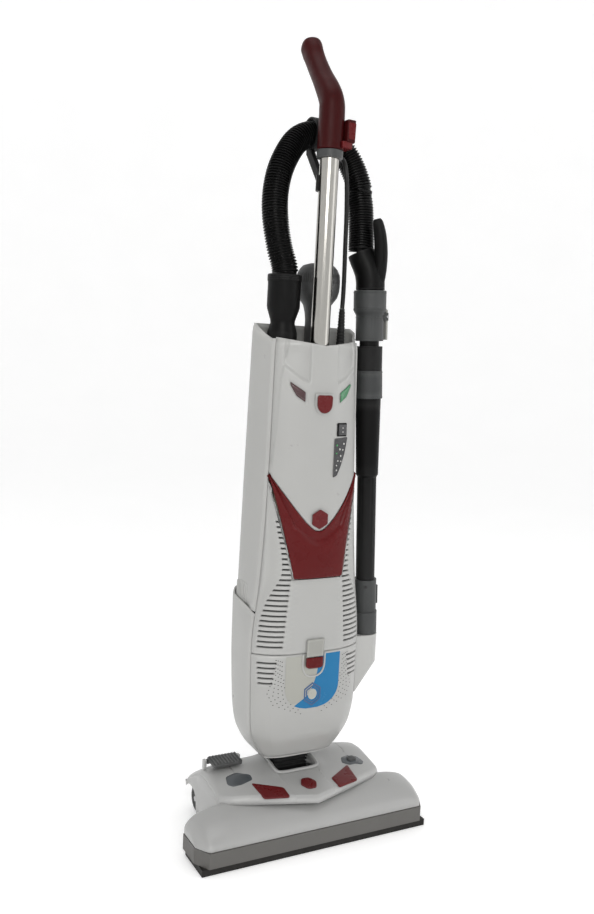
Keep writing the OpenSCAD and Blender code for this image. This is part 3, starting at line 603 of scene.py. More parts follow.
def lens_piece(name, side, mat):
    us = [side * t for t in spread(0.415, 0.71, 16)]
    if side < 0:
        us = us[::-1]
    def levels(u):
        lo, hi, _ = lens_shape(u)
        return [mix(lo, hi, j / 8) for j in range(9)]
    def stand(u, z):
        lo, hi, t = lens_shape(u)
        return -0.9 + 1.5 * min(1, 8 * (z - lo) / 20 + .1) * min(1, 8 * (hi - z) / 20 + .1)
    return skin(name, us, levels, stand, mat, "door", wall=1.2, slot=mat)

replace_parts(lens_piece("lamp_left", -1, "lens_red"), "left_lens")
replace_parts(lens_piece("lamp_right", 1, "lens_green"), "right_lens")

# Button: rounded shield in its own recess ring.
def shield(w, top, low):
    pts = [(-w, top), (-w, mix(top, low, 0.48))]
    pts += [(-w * math.cos(a), mix(top, low, 0.48) + (low - mix(top, low, 0.48)) * math.sin(a))
            for a in [math.radians(15 * k) for k in range(1, 6)]]
    pts += [(0, low)]
    return pts + [(-x, z) for x, z in pts[-2::-1]]

prism("button_rim", rounded(shield(15.2, 671.5, 640), 2, 3), 0, 0.9, "body", "door", 0.5,
        on_front(656, 0.9), slot="body_grey")
button = prism("door_button_cap", rounded(shield(12.6, 669.5, 643), 4, 4), 0, 3.4, "badge", "door_button",
        1.6, on_front(656, 1.5),
               slot="maroon")
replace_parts(button, "release_button")

# Rocker switch and indicator panel.
def tilted_front(u0, z0, stand):
    """Local plane on the front: x across, z up, following the sideways lean at u0."""
    a, b = Vector(front(u0 - 0.06, z0)), Vector(front(u0 + 0.06, z0))
    c, d = Vector(front(u0, z0 - 12)), Vector(front(u0, z0 + 12))
    ex, ez = (b - a).normalized(), (d - c).normalized()
    n = ex.cross(ez).normalized()
    o = Vector(front(u0, z0))
    return lambda x, z, h: tuple(o + ex * x + ez * z + n * (stand + h))

prism("switch_bezel", rounded([(-10, -10), (10, -10), (10, 10), (-10, 10)], 2, 3), 0, 1.0, "black",
        "door", 0.5,
              tilted_front(0.47, 619, -0.2), slot="black")
rocker = prism("switch_rocker", rounded([(-8, -8), (8, -8), (8, 8), (-8, 8)], 1, 3), 0, 1.9, "screen",
        "power_rocker", 0.6,
               tilted_front(0.47, 619, 0.6), slot="black")
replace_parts(rocker, "rocker_switch")
panel_outline = rounded([(-12.5, 2), (13.5, 4), (8, -22), (1, -40), (-6, -53), (-13.5, -56)], 2.0, 3)
panel = prism("indicator_panel", panel_outline, 0, 0.7, "screen", "door", 0.3,
        tilted_front(0.45, 604, -0.1), slot="panel_black")
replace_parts(panel, "control_panel")
where = tilted_front(0.45, 604, 0.65)
for k, (x, z, mt, r) in enumerate([(-8, -8, "led", 1.5), (6, -6, "print", 1.5), (-2, -14, "print", 1.5),
        (4, -15, "print", 1.2),
                                   (-8.5, -20, "led", 1.3), (0, -24, "print", 1.5),
                                   (-5.5, -31, "print", 1.2), (0.5, -32, "print", 1.2),
                                   (-8, -38, "print", 1.2), (-8, -45, "print", 1.2)]):
    prism(f"indicator_dot_{k + 1}", [(x + r * math.cos(a), z + r * math.sin(a)) for a in
                                     [math.radians(30 * i) for i in range(12)]],
          0, 0.5, mt, "door", 0.0, where, slot="panel_black")
for k in range(2):
    prism(f"switch_mark_{k + 1}", rounded([(-1.2, 2 - 6 * k), (1.2, 2 - 6 * k), (1.2, 3.4 - 6 * k),
            (-1.2, 3.4 - 6 * k)], 0.4, 2), 0, 0.15,
          "print", "power_rocker", 0.0, tilted_front(0.47, 619, 2.45), slot="black")

# ------------------------------------------------------------------ vent cover and lower cover
slot_left = curve_of([(286, 0.93), (330, 0.93), (360, 0.89), (383, 0.80), (398, 0.72), (410, 0.685),
        (430, 0.70),
                      (470, 0.80), (520, 0.93)])
def label_edge(z):
    return mix(40, 48, (400 - min(400.0, z)) / 102) / front_w(z)

def slot_right(z):
    if z < 399:
        return label_edge(z) + 0.05
    return 0.52 + 0.51 * (max(0.0, z - 400) / 152) ** 1.11

PITCH = 7.7
slots = [(z, z + 2.1) for z in [297 + PITCH * k for k in range(25)] if z < 484]


def slotted_rows(low, high, cuts):
    rows = [low]
    for a, b in cuts:
        if a > low and b < high:
            rows += [a - 0.55, a, b, b + 0.55]
    rows.append(high)
    rows = sorted(set(round(r, 3) for r in rows))
    out = []
    for a, b in zip(rows[:-1], rows[1:]):
        n = max(1, int((b - a) / 3.0))
        out += [mix(a, b, i / n) for i in range(n)]
    return out + [rows[-1]]

def slotted_skin(name, low, high, cuts, left, right, extra, top_of, mats, body, sides=(-1, 1), slot=None):
    """Front skin with slots pressed into it between two edges each side; the slot floors carry the
    slot_shadow material, painted shade for the dark inside.
    """
    rows = slotted_rows(low, high, cuts)
    def columns(z):
        l, r = left(z), right(z)
        e = 0.012
        half = [0, r * 0.2, r * 0.4, r * 0.6, r * 0.8, r - e, r, mix(r, l, 0.33), mix(r, l, 0.67), l, l + e]
        half += [mix(l + e, 1, k / 4) for k in range(1, 5)]
        return [-h for h in half[:0:-1]] + half
    ncol = len(columns(low))
    mid = ncol // 2
    verts, faces, fm = [], [], []
    for z in rows:
        cut = any(a - 0.01 <= z <= b + 0.01 for a, b in cuts) and right(z) < left(z) - 0.02
        for i, u in enumerate(columns(z)):
            k = abs(i - mid)
            deep = -2.6 if cut and 6 <= k <= 9 else 0.0
            zz = z
            top = top_of(u)
            if zz > top:
                zz = top
            verts.append(front(u, zz, deep + extra(u, zz)))
    for j in range(len(rows) - 1):
        for i in range(ncol - 1):
            a, b, c, d = j * ncol + i, j * ncol + i + 1, (j + 1) * ncol + i + 1, (j + 1) * ncol + i
            if abs(verts[a][2] - verts[d][2]) < 0.004 and abs(verts[b][2] - verts[c][2]) < 0.004:
                continue
            zc = (rows[j] + rows[j + 1]) / 2
            inside = any(p <= zc <= q for p, q in cuts) and right(zc) < left(zc) - 0.02
            k0 = min(abs(i - mid), abs(i + 1 - mid))
            faces.append((a, b, c, d))
            # Slot floors get material 1, slot_shadow: painted shade.
            fm.append(1 if inside and 6 <= k0 <= 8 else 0)
    o = make(name, verts, faces, mats, body, fm, slot=slot, angle=42)
    bm = bmesh.new()
    bm.from_mesh(o.data)
    bmesh.ops.remove_doubles(bm, verts=bm.verts, dist=0.00002)
    bm.to_mesh(o.data)
    bm.free()
    return thicken(o, 1.6)

def vent_extra(u, z):
    plate = 1.0 * (1 - step(label_edge(z) - 0.03, label_edge(z) + 0.0, abs(u))) * (1 - step(394, 398, z))
    return plate - 1.6 * step(0.95, 1.0, abs(u)) - 0.8 * (1 - step(0, 1.6, z - SEAM))

vent = slotted_skin("vent_shell", SEAM + 0.4, 546, slots, slot_left, slot_right, vent_extra,
                    lambda u: chevron_low(min(1, abs(u)) * 0.97) - 1.5, ["body", "slot"], "exhaust_cover",
                    slot="body_grey")
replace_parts(vent, "vent_cover")

low_slots = [(z, z + 2.1) for z in [242 + PITCH * k for k in range(5)]]
low_left = curve_of([(230, 0.90), (290, 0.93)])
low_right = curve_of([(230, 0.72), (245, 0.71), (290, 0.62)])

def lower_extra(u, z):
    d = -1.4 * step(0.93, 1.0, abs(u)) - 0.8 * step(SEAM - 2.2, SEAM - 0.4, z)
    r = math.hypot(u * front_w(z) / 27.0, (z - 176) / 20.0)
    if z < 176:
        d += 0.5 * math.exp(-((r - 1.0) / 0.1) ** 2)
    return d

lower = slotted_skin("lower_shell", 119, SEAM - 0.4, low_slots, low_left, low_right, lower_extra,
                     lambda u: SEAM - 0.4, ["body", "slot"], UP, slot="body_grey")
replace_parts(lower, "lower_cover")

# Rows of small holes beside the emblem panel, each drawn as a flat dark disc just proud of the cover:
# painted shade standing in for the hole.
def dot_field():
    verts, faces = [], []
    for side in (-1, 1):
        for row in range(13):
            z = 276 - row * 6.9
            inner = 0.56 if row < 3 else (0.56 - 0.035 * (row - 3) if row < 9 else 0.35 - 0.05 * (row - 9))
            outer = 0.66 if row < 5 else 0.70 + 0.02 * (row - 5) - 0.05 * max(0, row - 9)
            n = 4 if row < 5 else 6
            for k in range(n):
                u = side * mix(inner, outer, k / (n - 1))
                zz = z + (k / (n - 1)) * (3 + row * 1.2)
                c = Vector(front(u, zz, 0.12))
                a, b = Vector(front(u - 0.01, zz, 0.12)), Vector(front(u + 0.01, zz, 0.12))
                ex = (b - a).normalized()
                ez = (Vector(front(u, zz + 1, 0.12)) - c).normalized()
                base = len(verts)
                for q in range(8):
                    t = math.pi / 4 * q
                    verts.append(tuple(c + ex * 1.05 * math.cos(t) + ez * 0.62 * math.sin(t)))
                faces.append(tuple(range(base, base + 8)))
    return make("cover_holes", verts, faces, "slot", UP, slot="body_grey")

dot_field()

# Emblem panel: shield in two colours with a plain hexagon emblem.

def split_u(z):
    return -0.12 + 0.20 * step(200, 262, z) - 0.30 * (1 - step(196, 226, z))

def shield_skin(name, side, mat):
    rows = 40
    def edge(z):
        t = max(0.0, min(1.0, (236 - z) / 36))
        return 0.5 * (1 - t ** 2.3) ** (1 / 2.3) if z < 236 else 0.5
    zs = [mix(200.5, SEAM - 3.5, j / rows) for j in range(rows + 1)]
    cols = 14
    verts = []
    for z in zs:
        s = max(-edge(z), min(edge(z), split_u(z)))
        a, b = (-edge(z), s) if side < 0 else (s, edge(z))
        for i in range(cols + 1):
            u = mix(a, b, i / cols)
            verts.append(front(u, z, 0.35))
    return make(name, verts, grid_faces(rows + 1, cols + 1), mat, UP, slot="panel_blue", angle=60)

pane = shield_skin("emblem_blue", 1, "blue")
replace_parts(pane, "emblem_panel")
shield_skin("emblem_silver", -1, "silver")
emblem_at = tilted_front(0.0, 222, 0.45)
def ring_plate(name, r0, r1, n, turn, mat, h):
    verts = []
    for r in (r0, r1):
        for hh in (0, h):
            verts += [emblem_at(r * math.cos(math.radians(turn) + 2 * math.pi * k / n),
                                r * math.sin(math.radians(turn) + 2 * math.pi * k / n) * 1.12,
                                hh) for k in range(n)]
    faces = []
    for k in range(n):
        q = (k + 1) % n
        faces += [(k, q, n + q, n + k), (2 * n + q, 2 * n + k, 3 * n + k, 3 * n + q),
                (n + k, n + q, 3 * n + q, 3 * n + k)]
    return outward(make(name, verts, faces, mat, UP, slot="panel_blue", smooth=False))
ring_plate("emblem_ring_outer", 14.0, 16.2, 6, 30, "navy", 0.35)
ring_plate("emblem_ring_inner", 10.4, 12.2, 6, 30, "navy", 0.35)
prism("emblem_centre", [(7.5 * math.cos(math.radians(a)),
        8.2 * math.sin(math.radians(a))) for a in range(0, 360, 12)], 0, 0.3,
      "silver", UP, 0.0, emblem_at, slot="panel_blue")

# Latch between the two covers, in its raised rim.
def latch_piece(name, low, high, stand0, mat, body, slot, half=0.155, round_low=0.0):
    us = spread(-half, half, 14)
    def levels(u):
        lo = low + round_low * (abs(u) / half) ** 3
        return [mix(lo, high, j / 14) for j in range(15)]
    def stand(u, z):
        f = min(1.0, (half - abs(u)) / 0.02 + 0.35)
        g = min(1.0, (z - low) / 2 + 0.4, (high - z) / 2 + 0.4)
        return stand0 * (0.55 + 0.45 * min(f, g))
    return skin(name, us, levels, stand, mat, body, wall=3.2, slot=slot, angle=60)

slider = latch_piece("latch_slider_cap", 280.2, 307.6, 5.2, "light", "cover_latch", "light_grey")
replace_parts(slider, "latch_slider")
key = latch_piece("latch_key_cap", 262.5, 279.4, 5.0, "maroon", "cover_latch", "maroon", round_low=3.5)
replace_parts(key, "latch_key")
rim_path = [(-0.20, 284), (-0.20, 272), (-0.19, 262), (-0.15, 254.5), (-0.08, 250.5), (0, 249.5),
        (0.08, 250.5),
            (0.15, 254.5), (0.19, 262), (0.20, 272), (0.20, 284)]
sweep("latch_rim", [Vector(p) for p in resample(spline([front(u, z, 0.4) for u, z in rim_path], 6), 2.0)],
      lambda i, a: (1.5, 1.5), "body", UP, 12, slot="body_grey")

# ------------------------------------------------------------------ casings
def ring_path(z, w, y0, w1, back, r, low_front=8.0):
    """Half outline from the front right edge round to the middle of the back."""
    pts = [(w, y0), (mix(w, w1, 0.14), mix(y0, low_front, 0.27)),
            (mix(w, w1, 0.46), mix(y0, low_front, 0.62)), (w1, low_front)]
    for a in range(0, 91, 9):
        t = math.radians(a)
        pts.append((w1 - r + r * math.cos(t), back - r + r * math.sin(t)))
    pts.append((w1 * 0.3, back + 1.6))
    pts.append((0, back + 2))
    return pts

def full_path(half):
    return half + [(-x, y) for x, y in half[-2::-1]]

def casing_shell(name, z0, top, nz, outline, body, extra=None, **kw):
    n = len(outline(z0))
    verts = []
    for j in range(nz + 1):
        v = j / nz
        base = outline(z0)
        for i in range(n):
            z = mix(z0, top(base[i][1]), v)
            p = outline(z)[i]
            dx, dy = (extra(p, z, v, i) if extra else (0.0, 0.0))
            verts.append((p[0] + dx, p[1] + dy, z))
    o = outward(make(name, verts, grid_faces(nz + 1, n), "body", body, slot="body_grey", angle=50, **kw))
    return o

def upper_outline(z):
    return full_path(ring_path(z, front_w(z) + 0.2, edge_y(z) + 2.6, upper_w(z), 52, 15, 24))

def upper_top(y):
    return mix(748, 770, step(-8, 42, y))

def upper_extra(p, z, v, i):
    s = 1 if p[0] > 0 else -1
    edge = step(0.965, 1.0, v)
    flute = 0.8 * math.exp(-((p[1] - 12) / 4.0) ** 2)
    return (-s * (flute + 1.6 * edge ** 2), -1.2 * edge ** 2 if p[1] > 40 else 0.0)

upper = casing_shell("rear_shell", 348, upper_top, 60, upper_outline, UP, upper_extra)
def inward(o, mm):
    """Wall grown towards the inside whichever way the faces were turned."""
    c = sum((p.center for p in o.data.polygons), Vector()) / len(o.data.polygons)
    dot = sum((p.center - c).dot(p.normal) * p.area for p in o.data.polygons)
    return thicken(o, mm, -1.0 if dot > 0 else 1.0)
inward(upper, 2.6)
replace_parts(upper, "rear_casing")

def lower_outline(z):
    b = lower_back(z)
    return full_path(ring_path(z, front_w(z) + 0.3, edge_y(z) + 2.6, lower_w(z), b, min(15, b - 10), 8))

def lower_top(y):
    return mix(344, 372, step(-16, 40, y))

def lower_shape(p, z, v, i):
    s = 1 if p[0] > 0 else -1
    edge = step(0.97, 1.0, v)
    return (-s * 1.4 * edge ** 2, 0.0)

casing = casing_shell("lower_shell_rear", 116, lower_top, 60, lower_outline, UP, lower_shape)
inward(casing, 2.6)
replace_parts(casing, "lower_casing")
floor_pts = lower_outline(116)
front_floor = [front(u, 118.5, -2.0)[:2] for u in spread(-1, 1, 12)]
prism("lower_floor", [(x * 0.985, y) for x, y in floor_pts] + front_floor, 115.2, 118.4, "body", UP, 0.8,
        slot="body_grey")
prism("inner_wall", [(-68, -12), (68, -12), (80, 44), (-80, 44)], 350, 355, "dark", UP, 0.5,
        slot="dark_grey")

# Side ribs low on the upper casing.
for s in (-1, 1):
    for k in range(8):
        y = 12 + k * 4.4
        if y > 46:
            continue
        def side_x(z, yy=y):
            w1 = upper_w(z)
            if yy <= 27:
                return w1 - 0.35 if yy > 24 else mix(front_w(z), w1, 0.46 + 0.54 * (yy - 12) / 12)
            r = 15
            d = max(0.0, yy - (52 - r))
            return w1 - r + math.sqrt(max(0.0, r * r - d * d))
        path = [Vector((s * (side_x(z) + 0.3), y, z)) for z in spread(352 + 2, 386 - abs(k - 3.5) * 1.2, 8)]
        sweep(f"side_rib_{'l' if s < 0 else 'r'}{k + 1}", path, lambda i, a: (1.0, 0.9), "body", UP, 8,
                slot="body_grey")

# ------------------------------------------------------------------ top of the body
dress("top_deck", "body", 1.2)
block("deck_clip", (-28, 34, 741), (-10, 42, 748), "black", UP, 1.2, slot="black")

# ------------------------------------------------------------------ handle
dress("handle_tube", "chrome")
dress("tube_ring", "collar", 0.8)
TUBE_Y = -14.0
grip_route = [(0, TUBE_Y, 1018.8), (0, TUBE_Y, 1036), (0, TUBE_Y, 1056), (0, TUBE_Y, 1072),
        (0, -12, 1086), (0, -4, 1100),
              (0, 9, 1116), (0, 24, 1133), (0, 38, 1150), (0, 50, 1166), (0, 58, 1178), (0, 63.5, 1187)]
grip_line = spline(grip_route, 6)
grip_w = curve_of([(0, 19.2), (8, 19.3), (20, 19.2), (26, 18.2), (34, 17.6), (44, 16.0), (54, 15.6),
        (60, 16.6), (66, 12.5)])
grip_d = curve_of([(0, 19.2), (12, 19.6), (20, 19.8), (26, 20.2), (32, 18.6), (40, 15.6), (50, 15.8),
        (56, 18.0), (62, 17.4), (66, 12.0)])
def grip_profile(i, a):
    k = i * 66.0 / (len(grip_line) - 1)
    flat = 1.0 - 0.05 * math.cos(2 * a) ** 2
    notch = -1.8 * math.exp(-((k - 59) / 1.6) ** 2) * (1 if math.sin(a) > 0.3 else 0)
    ridge = 0.5 * math.exp(-((k - 1.5) / 0.8) ** 2)
    return ((grip_w(k) + ridge) * flat, (grip_d(k) + notch + ridge) * flat)
handle = sweep("grip_shell", grip_line, grip_profile, "grip", UP, 40, slot="maroon", angle=60)
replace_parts(handle, "grip")
sub = handle.modifiers.new("smooth", "SUBSURF")
sub.levels = sub.render_levels = 1

# Cord clip: a block with a hooked side and a lighter inner face.
clip_shape = rounded([(15, -37), (29, -36), (29.5, -10), (14, -9)], 3, 4)
clip = prism("clip_block", clip_shape, 1030, 1061.5, "grip", UP, 1.4, slot="maroon")
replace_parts(clip, "cord_clip")
prism("clip_foot", rounded([(8, -36), (26, -34), (27, -12), (10, -10)], 3, 4), 1021.5, 1031, "maroon", UP,
        1.2, slot="maroon")
prism("clip_face", rounded([(16.5, 1034), (27, 1034), (27.5, 1057), (16, 1057)], 1.5, 3), 0, 0.7,
        "maroon", UP, 0.3,
      lambda x, z, h: (x, -37.1 - h, z), slot="maroon")

# Strain relief with moulded ribs.
relief_profile = [(0.01, 742.2), (6.3, 742.2)]
for k in range(11):
    z = 746 + k * 4.5
    r = mix(6.3, 4.9, k / 10)
    relief_profile += [(r, z), (r, z + 2.4), (r - 0.9, z + 2.9), (r - 0.9, z + 4.0)]
relief_profile += [(4.3, 798.0), (0.01, 798.2)]
relief = lathe("relief_sleeve", (51, 13, 0), (0, 0, 1), relief_profile, "rubber", UP, 32,
        slot="rubber_black")
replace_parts(relief, "strain_relief")
dress("cord_hook", "black", 1.0)
dress("casing_screws", "steel", 0.3)

# ------------------------------------------------------------------ hose ends
cuff_profile = [(17.9, 724), (17.9, 741.5), (21.6, 741.6), (22, 743), (22, 757), (21.2, 760), (17.9, 771),
        (18.4, 775),
                (23.6, 791), (24.3, 795), (24.3, 828), (24.5, 830.5), (25.1, 831.5), (25.1, 840),
                (24.4, 841), (19.6, 841)]
cuff = lathe("cuff_shell", (-49, 13, 0), (0, 0, 1), cuff_profile, "black", UP, 72, slot="black", angle=25)
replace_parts(cuff, "hose_cuff")
soften(cuff, 0.5, 2, 30)
for k in range(3):
    sweep(f"cuff_ring_{k + 1}", [Vector((-49 + 24.9 * math.cos(a), 13 + 24.9 * math.sin(a),
            833.6 + 2.6 * k))
                                 for a in [2 * math.pi * i / 48 for i in range(49)]], lambda i,
                                 a: (0.5, 0.5), "black", UP, 6,
          caps=False, slot="black")
dress("hose_hook", "black", 0.8)

# Hand grip between hose and wand.
g_path = spline([(94.1, 5, 829.7), (93.6, 5.5, 842), (91.8, 7.4, 854), (88.0, 11.0, 866),
        (84.2, 14.8, 876), (81.3, 17.2, 884.8)], 6)
g_r = curve_of([(0, 22), (8, 22), (16, 21.4), (24, 20.8), (30, 20.4)])
hg = sweep("hand_grip", g_path, lambda i, a: (g_r(i), g_r(i)), "black", "wand", 48, slot="black", angle=50)
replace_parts(hg, "hose_grip")
h_path = spline([(101, -3, 836), (101.5, -6, 850), (101, -8.5, 870), (99.5, -9.5, 892), (96, -9.5, 914),
        (90.5, -8.5, 934)], 6)
h_r = curve_of([(0, 8.5), (5, 10.8), (14, 11.4), (22, 10.6), (28, 8.5), (30, 5.5)])
sweep("hand_grip_saddle", h_path, lambda i, a: (h_r(i) * 0.9, h_r(i)), "black", "wand", 28, slot="black",
        angle=50)

# ------------------------------------------------------------------ wand
for node_name, mat, bev in [("wand_tube", "black", 0.5), ("wand_collars", "collar", 0.6),
        ("wand_latch", "light", 0.8),
                            ("wand_socket", "collar", 0.8), ("wand_port", "body", 1.5)]:
    dress(node_name, mat, bev)
LEAN = math.radians(2.86)
def along(s, dx=0.0, dy=0.0):
    """Point at a distance along the wand's axis."""
    return Vector((121 - math.sin(LEAN) * s + math.cos(LEAN) * dx, 5 + dy,
            290 + math.cos(LEAN) * s + math.sin(LEAN) * dx))
axis = (-math.sin(LEAN), 0, math.cos(LEAN))
for k, (s, r) in enumerate([(377, 21.6), (415.5, 21.3), (465, 21.5), (499, 21.6), (511, 25.3),
        (536, 25.3)]):
    sweep(f"collar_bead_{k + 1}", [along(s, r * math.cos(a),
            r * math.sin(a)) for a in [2 * math.pi * i / 56 for i in range(57)]],
          lambda i, a: (0.45, 0.45), "collar", "wand", 6, caps=False, slot="collar_grey")
def wand_disc(name, s, dx, dy, direction, r, h, mat, body):
    return lathe(name, tuple(along(s, dx, dy)), direction, [(0.01, -0.5), (r, -0.5), (r, h), (r * 0.75,
            h + 0.3), (0.01, h + 0.3)],
                 mat, body, 20, slot="steel")
wand_disc("latch_pin_cap", 500, 26.8, -9.7, (0, -1, 0), 2.0, 0.2, "steel", "wand_lever")
# The socket screw is drawn in slot_shadow, painted shade for its dark recess.
wand_disc("socket_screw", 78, -8.5, -16.4, (-0.35, -1, 0), 2.4, 0.3, "slot", UP)
prism("port_mouth_rim", [(0, 0), (1, 0), (1, 1)], 0, 0.01, "collar", UP, 0.0, lambda x, y,
        h: tuple(along(2 + h, 5 + x, y)),
      slot="collar_grey")

# ------------------------------------------------------------------ dusting brush
brush_profile = [(0.01, 786), (13.9, 786), (13.95, 741.6), (16.6, 741.6), (17, 743), (17, 780),
        (18.2, 790), (21, 801), (30, 813.5),
                 (32.4, 822), (33.2, 830), (33.0, 840), (32.0, 848), (28.5, 855), (24, 860), (14, 863.2),
                 (0.01, 864)]
duster = lathe("duster_shell", (17, 31, 0), (0, 0, 1), brush_profile, "dark", "brush_tool", 64,
        slot="black", angle=50)
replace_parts(duster, "dusting_brush")
bm_verts, bm_faces = [], []
for k in range(150):
    a = 2 * math.pi * k / 150
    tilt = 0.5 * math.sin(k * 2.399)
    r0, r1 = 32.4, 33.2
    z0, z1 = 824 + 2 * math.sin(k * 5.1), 846 + 2.5 * math.sin(k * 3.7)
    base = len(bm_verts)
    for r, z in ((r0, z0), (r1, (z0 + z1) / 2), (r0 + tilt, z1)):
        for da in (-0.014, 0.014):
            bm_verts.append((17 + r * math.cos(a + da), 31 + r * math.sin(a + da), z))
    bm_faces += [(base, base + 1, base + 3, base + 2), (base + 2, base + 3, base + 5, base + 4)]
make("duster_bristles", bm_verts, bm_faces, "bristle", "brush_tool", slot="bristle_black")

# ------------------------------------------------------------------ floor head
hood_profile = [(-98, 33.5), (-97.6, 38), (-95.5, 43), (-91.5, 48), (-86, 52.5), (-79, 57), (-70, 61.5),
        (-60, 65), (-50, 67.6),
                (-42, 69), (-37, 69), (-34.5, 67), (-33.4, 62), (-33.2, 33.5)]
def hood_drop(x):
    d = max(0.0, abs(x) - 128) / 63.0
    return 1 - 0.42 * d ** 2.2

def hood_cut(x):
    return 21.5 * min(1.0, max(0.0, abs(x) - 176) / 15.0) ** 1.25

def build_hood():
    ends = [191, 190.6, 189.2, 187, 184, 181, 178, 175]
    xs = [-e for e in ends] + spread(-170, 170, 60) + ends[::-1]
    dense = spline([(0, y, z) for y, z in hood_profile], 3)
    verts = []
    for x in xs:
        a = abs(x)
        round_end = math.sqrt(max(0.0, 1 - ((a - 175) / 16.0) ** 2)) if a > 175 else 1.0
        for p in dense:
            y = p.y + (hood_cut(x) * (1 - step(-95, -50, p.y)))
            lift = hood_drop(x) * (0.45 + 0.55 * round_end)
            verts.append((x, min(y, -33.2), 33.4 + (p.z - 33.4) * lift))
    n = len(dense)
    faces = grid_faces(len(xs), n)
    faces += [tuple(range(n)), tuple((len(xs) - 1) * n + k for k in range(n - 1, -1, -1))]
    o = outward(make("hood_shell", verts, faces, "hood", HEAD, slot="body_grey", angle=50))
    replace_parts(o, "front_hood")
    return o
build_hood()
dress("bumper_band", "band", 3.0, 30)
dress("sole_plate", "sole", 0.8)

# Raised deck: edge drawn forward in the middle, fenders over the wheels, a well for the neck.
def deck_front(x):
    a = abs(x)
    return -88 + 0.33 * min(a, 114) + 17 * (max(0.0, a - 112) / 26) ** 1.6 

def deck_height(x, y):
    a = abs(x)
    base = curve_of([(-90, 77.5), (-60, 81), (-34, 85.2), (-2, 91.8), (24, 95.6), (40, 94.4), (52, 89),
            (66, 80), (80, 70), (92, 59), (100, 47)])(y)
    side = 1 - 0.10 * (a / 138.0) ** 5
    well = 3.0 * math.exp(-((max(a - 40, 0)) / 7.0) ** 2) * step(-30, -16,
            y) * (1 - step(40, 60, y)) * step(33, 36, a)
    crease = 0.8 * math.exp(-(a / 26.0) ** 4) * (1 - step(-60, -30, y))
    return base * side + crease + well * 0.6

def build_deck():
    right = [0, 5, 11, 18, 25, 31, 32.9, 33.1, 35, 38, 42, 48, 56, 66, 76, 86, 94, 97.6, 98.4, 102, 106,
            110, 114, 118, 122, 126,
             130, 133, 135.4, 137, 137.8, 138]
    xs = [-x for x in right[:0:-1]] + right
    rows = 46
    verts = []
    for x in xs:
        a = abs(x)
        f = deck_front(x)
        back = 97.4 if a > 98 else 50.0
        if a < 33:
            back = -14.5
        for j in range(rows + 1):
            if j == 0:
                verts.append((x, f - 0.2, 68.0 if a < 128 else 64))
                continue
            if j == rows:
                verts.append((x, back, 46.0 if a > 98 else (78.0 if a < 33 else 76.0)))
                continue
            y = mix(f, back, (j - 1) / (rows - 2))
            z = deck_height(x, y)
            front_round = 4.6 * (1 - step(0, 5.0, y - f)) ** 1.3
            z -= front_round
            if a > 132:
                z -= 5.0 * (1 - math.sqrt(max(0.0, 1 - ((a - 132) / 6.0) ** 2)))
            if a < 98 and a > 33:
                z -= 3.0 * step(back - 6, back, y)
            verts.append((x, y, z))
    cols = rows + 1
    faces = grid_faces(len(xs), cols)
    o = outward(make("deck_shell", verts, faces, "hood", HEAD, slot="body_grey", angle=48))
    c = sum(p.normal.z * p.area for p in o.data.polygons)
    thicken(o, 2.4, -1.0 if c > 0 else 1.0)
    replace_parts(o, "rear_deck")
    for s in (-1, 1):
        wall = []
        ys = spread(deck_front(138), 97.4, 40)
        for y in ys:
            top = deck_height(138, y) - 5.0 - 4.6 * (1 - step(0, 5.0, y - ys[0])) ** 1.3
            low = 12.0 if y < 52 else 46.0
            if 52 <= y:
                low = min(top - 0.5, 22 + 24 * math.sqrt(max(0.0, 1 - ((y - 77) / 26.0) ** 2)))
            if y < -33:
                low = 60.0
            for k in range(5):
                wall.append((s * 138.0, y, mix(top, low, k / 4)))
        side = make(f"deck_side_{'l' if s < 0 else 'r'}", wall, grid_faces(len(ys), 5), "hood", HEAD,
                slot="body_grey")
        n = sum(p.normal.x * p.area for p in side.data.polygons)
        thicken(side, 2.2, -1.0 if n * s > 0 else 1.0)
        inner = []
        for y in spread(48, 97, 16):
            top = deck_height(99, y) - 2.6
            for k in range(3):
                inner.append((s * 99.0, y, mix(top, 46 if y > 56 else 60, k / 2)))
        wall2 = make(f"fender_wall_{'l' if s < 0 else 'r'}", inner, grid_faces(17, 3), "hood", HEAD,
                slot="body_grey")
        thicken(wall2, 1.6, 0.0)
build_deck()

# Raised rim round the neck's well.
well = [(-36, 44, 0), (-36, 6, 0), (-36, -10, 0), (-30, -18.5, 0), (0, -19.5, 0), (30, -18.5, 0),
        (36, -10, 0), (36, 6, 0), (36, 44, 0)]
rim_line = []
for p in resample(spline(well, 8), 2.5):
    rim_line.append(Vector((p.x, p.y, deck_height(36, p.y) + 0.3)))
sweep("well_rim", rim_line, lambda i, a: (3.2, 2.6), "hood", HEAD, 14, slot="body_grey")
for s in (-1, 1):
    block(f"well_wall_{'l' if s < 0 else 'r'}", (s * 34.2 - 0.9, -15.5, 77), (s * 34.2 + 0.9, 49, 91.0),
            "hood", HEAD, 0.4, slot="body_grey")
block("well_floor", (-33.4, -16, 60), (33.4, -12.5, 88), "black", HEAD, 0.6, slot="black")


def deck_patch(name, outline, stand, thick, mat, body, slot):
    """Insert that follows the deck's slope, built from its own outline with a soft crown."""
    pts = rounded(outline, 4.0, 5)
    cx = sum(p[0] for p in pts) / len(pts)
    cy = sum(p[1] for p in pts) / len(pts)
    verts, faces = [], []
    n = len(pts)
    levels = [(1.0, -1.5), (1.0, thick * 0.55), (0.97, thick * 0.9), (0.92, thick), (0.6, thick + 0.15),
            (0.25, thick + 0.25)]
    for k, h in levels:
        for x, y in pts:
            xx, yy = cx + (x - cx) * k, cy + (y - cy) * k
            verts.append((xx, yy, deck_height(xx, yy) + stand + h))
    faces = grid_faces(len(levels), n, True)
    verts.append((cx, cy, deck_height(cx, cy) + stand + thick + 0.3))
    faces += [((len(levels) - 1) * n + i, (len(levels) - 1) * n + (i + 1) % n,
            len(verts) - 1) for i in range(n)]
    o = outward(make(name, verts, faces, mat, body, slot=slot, angle=40))
    return o

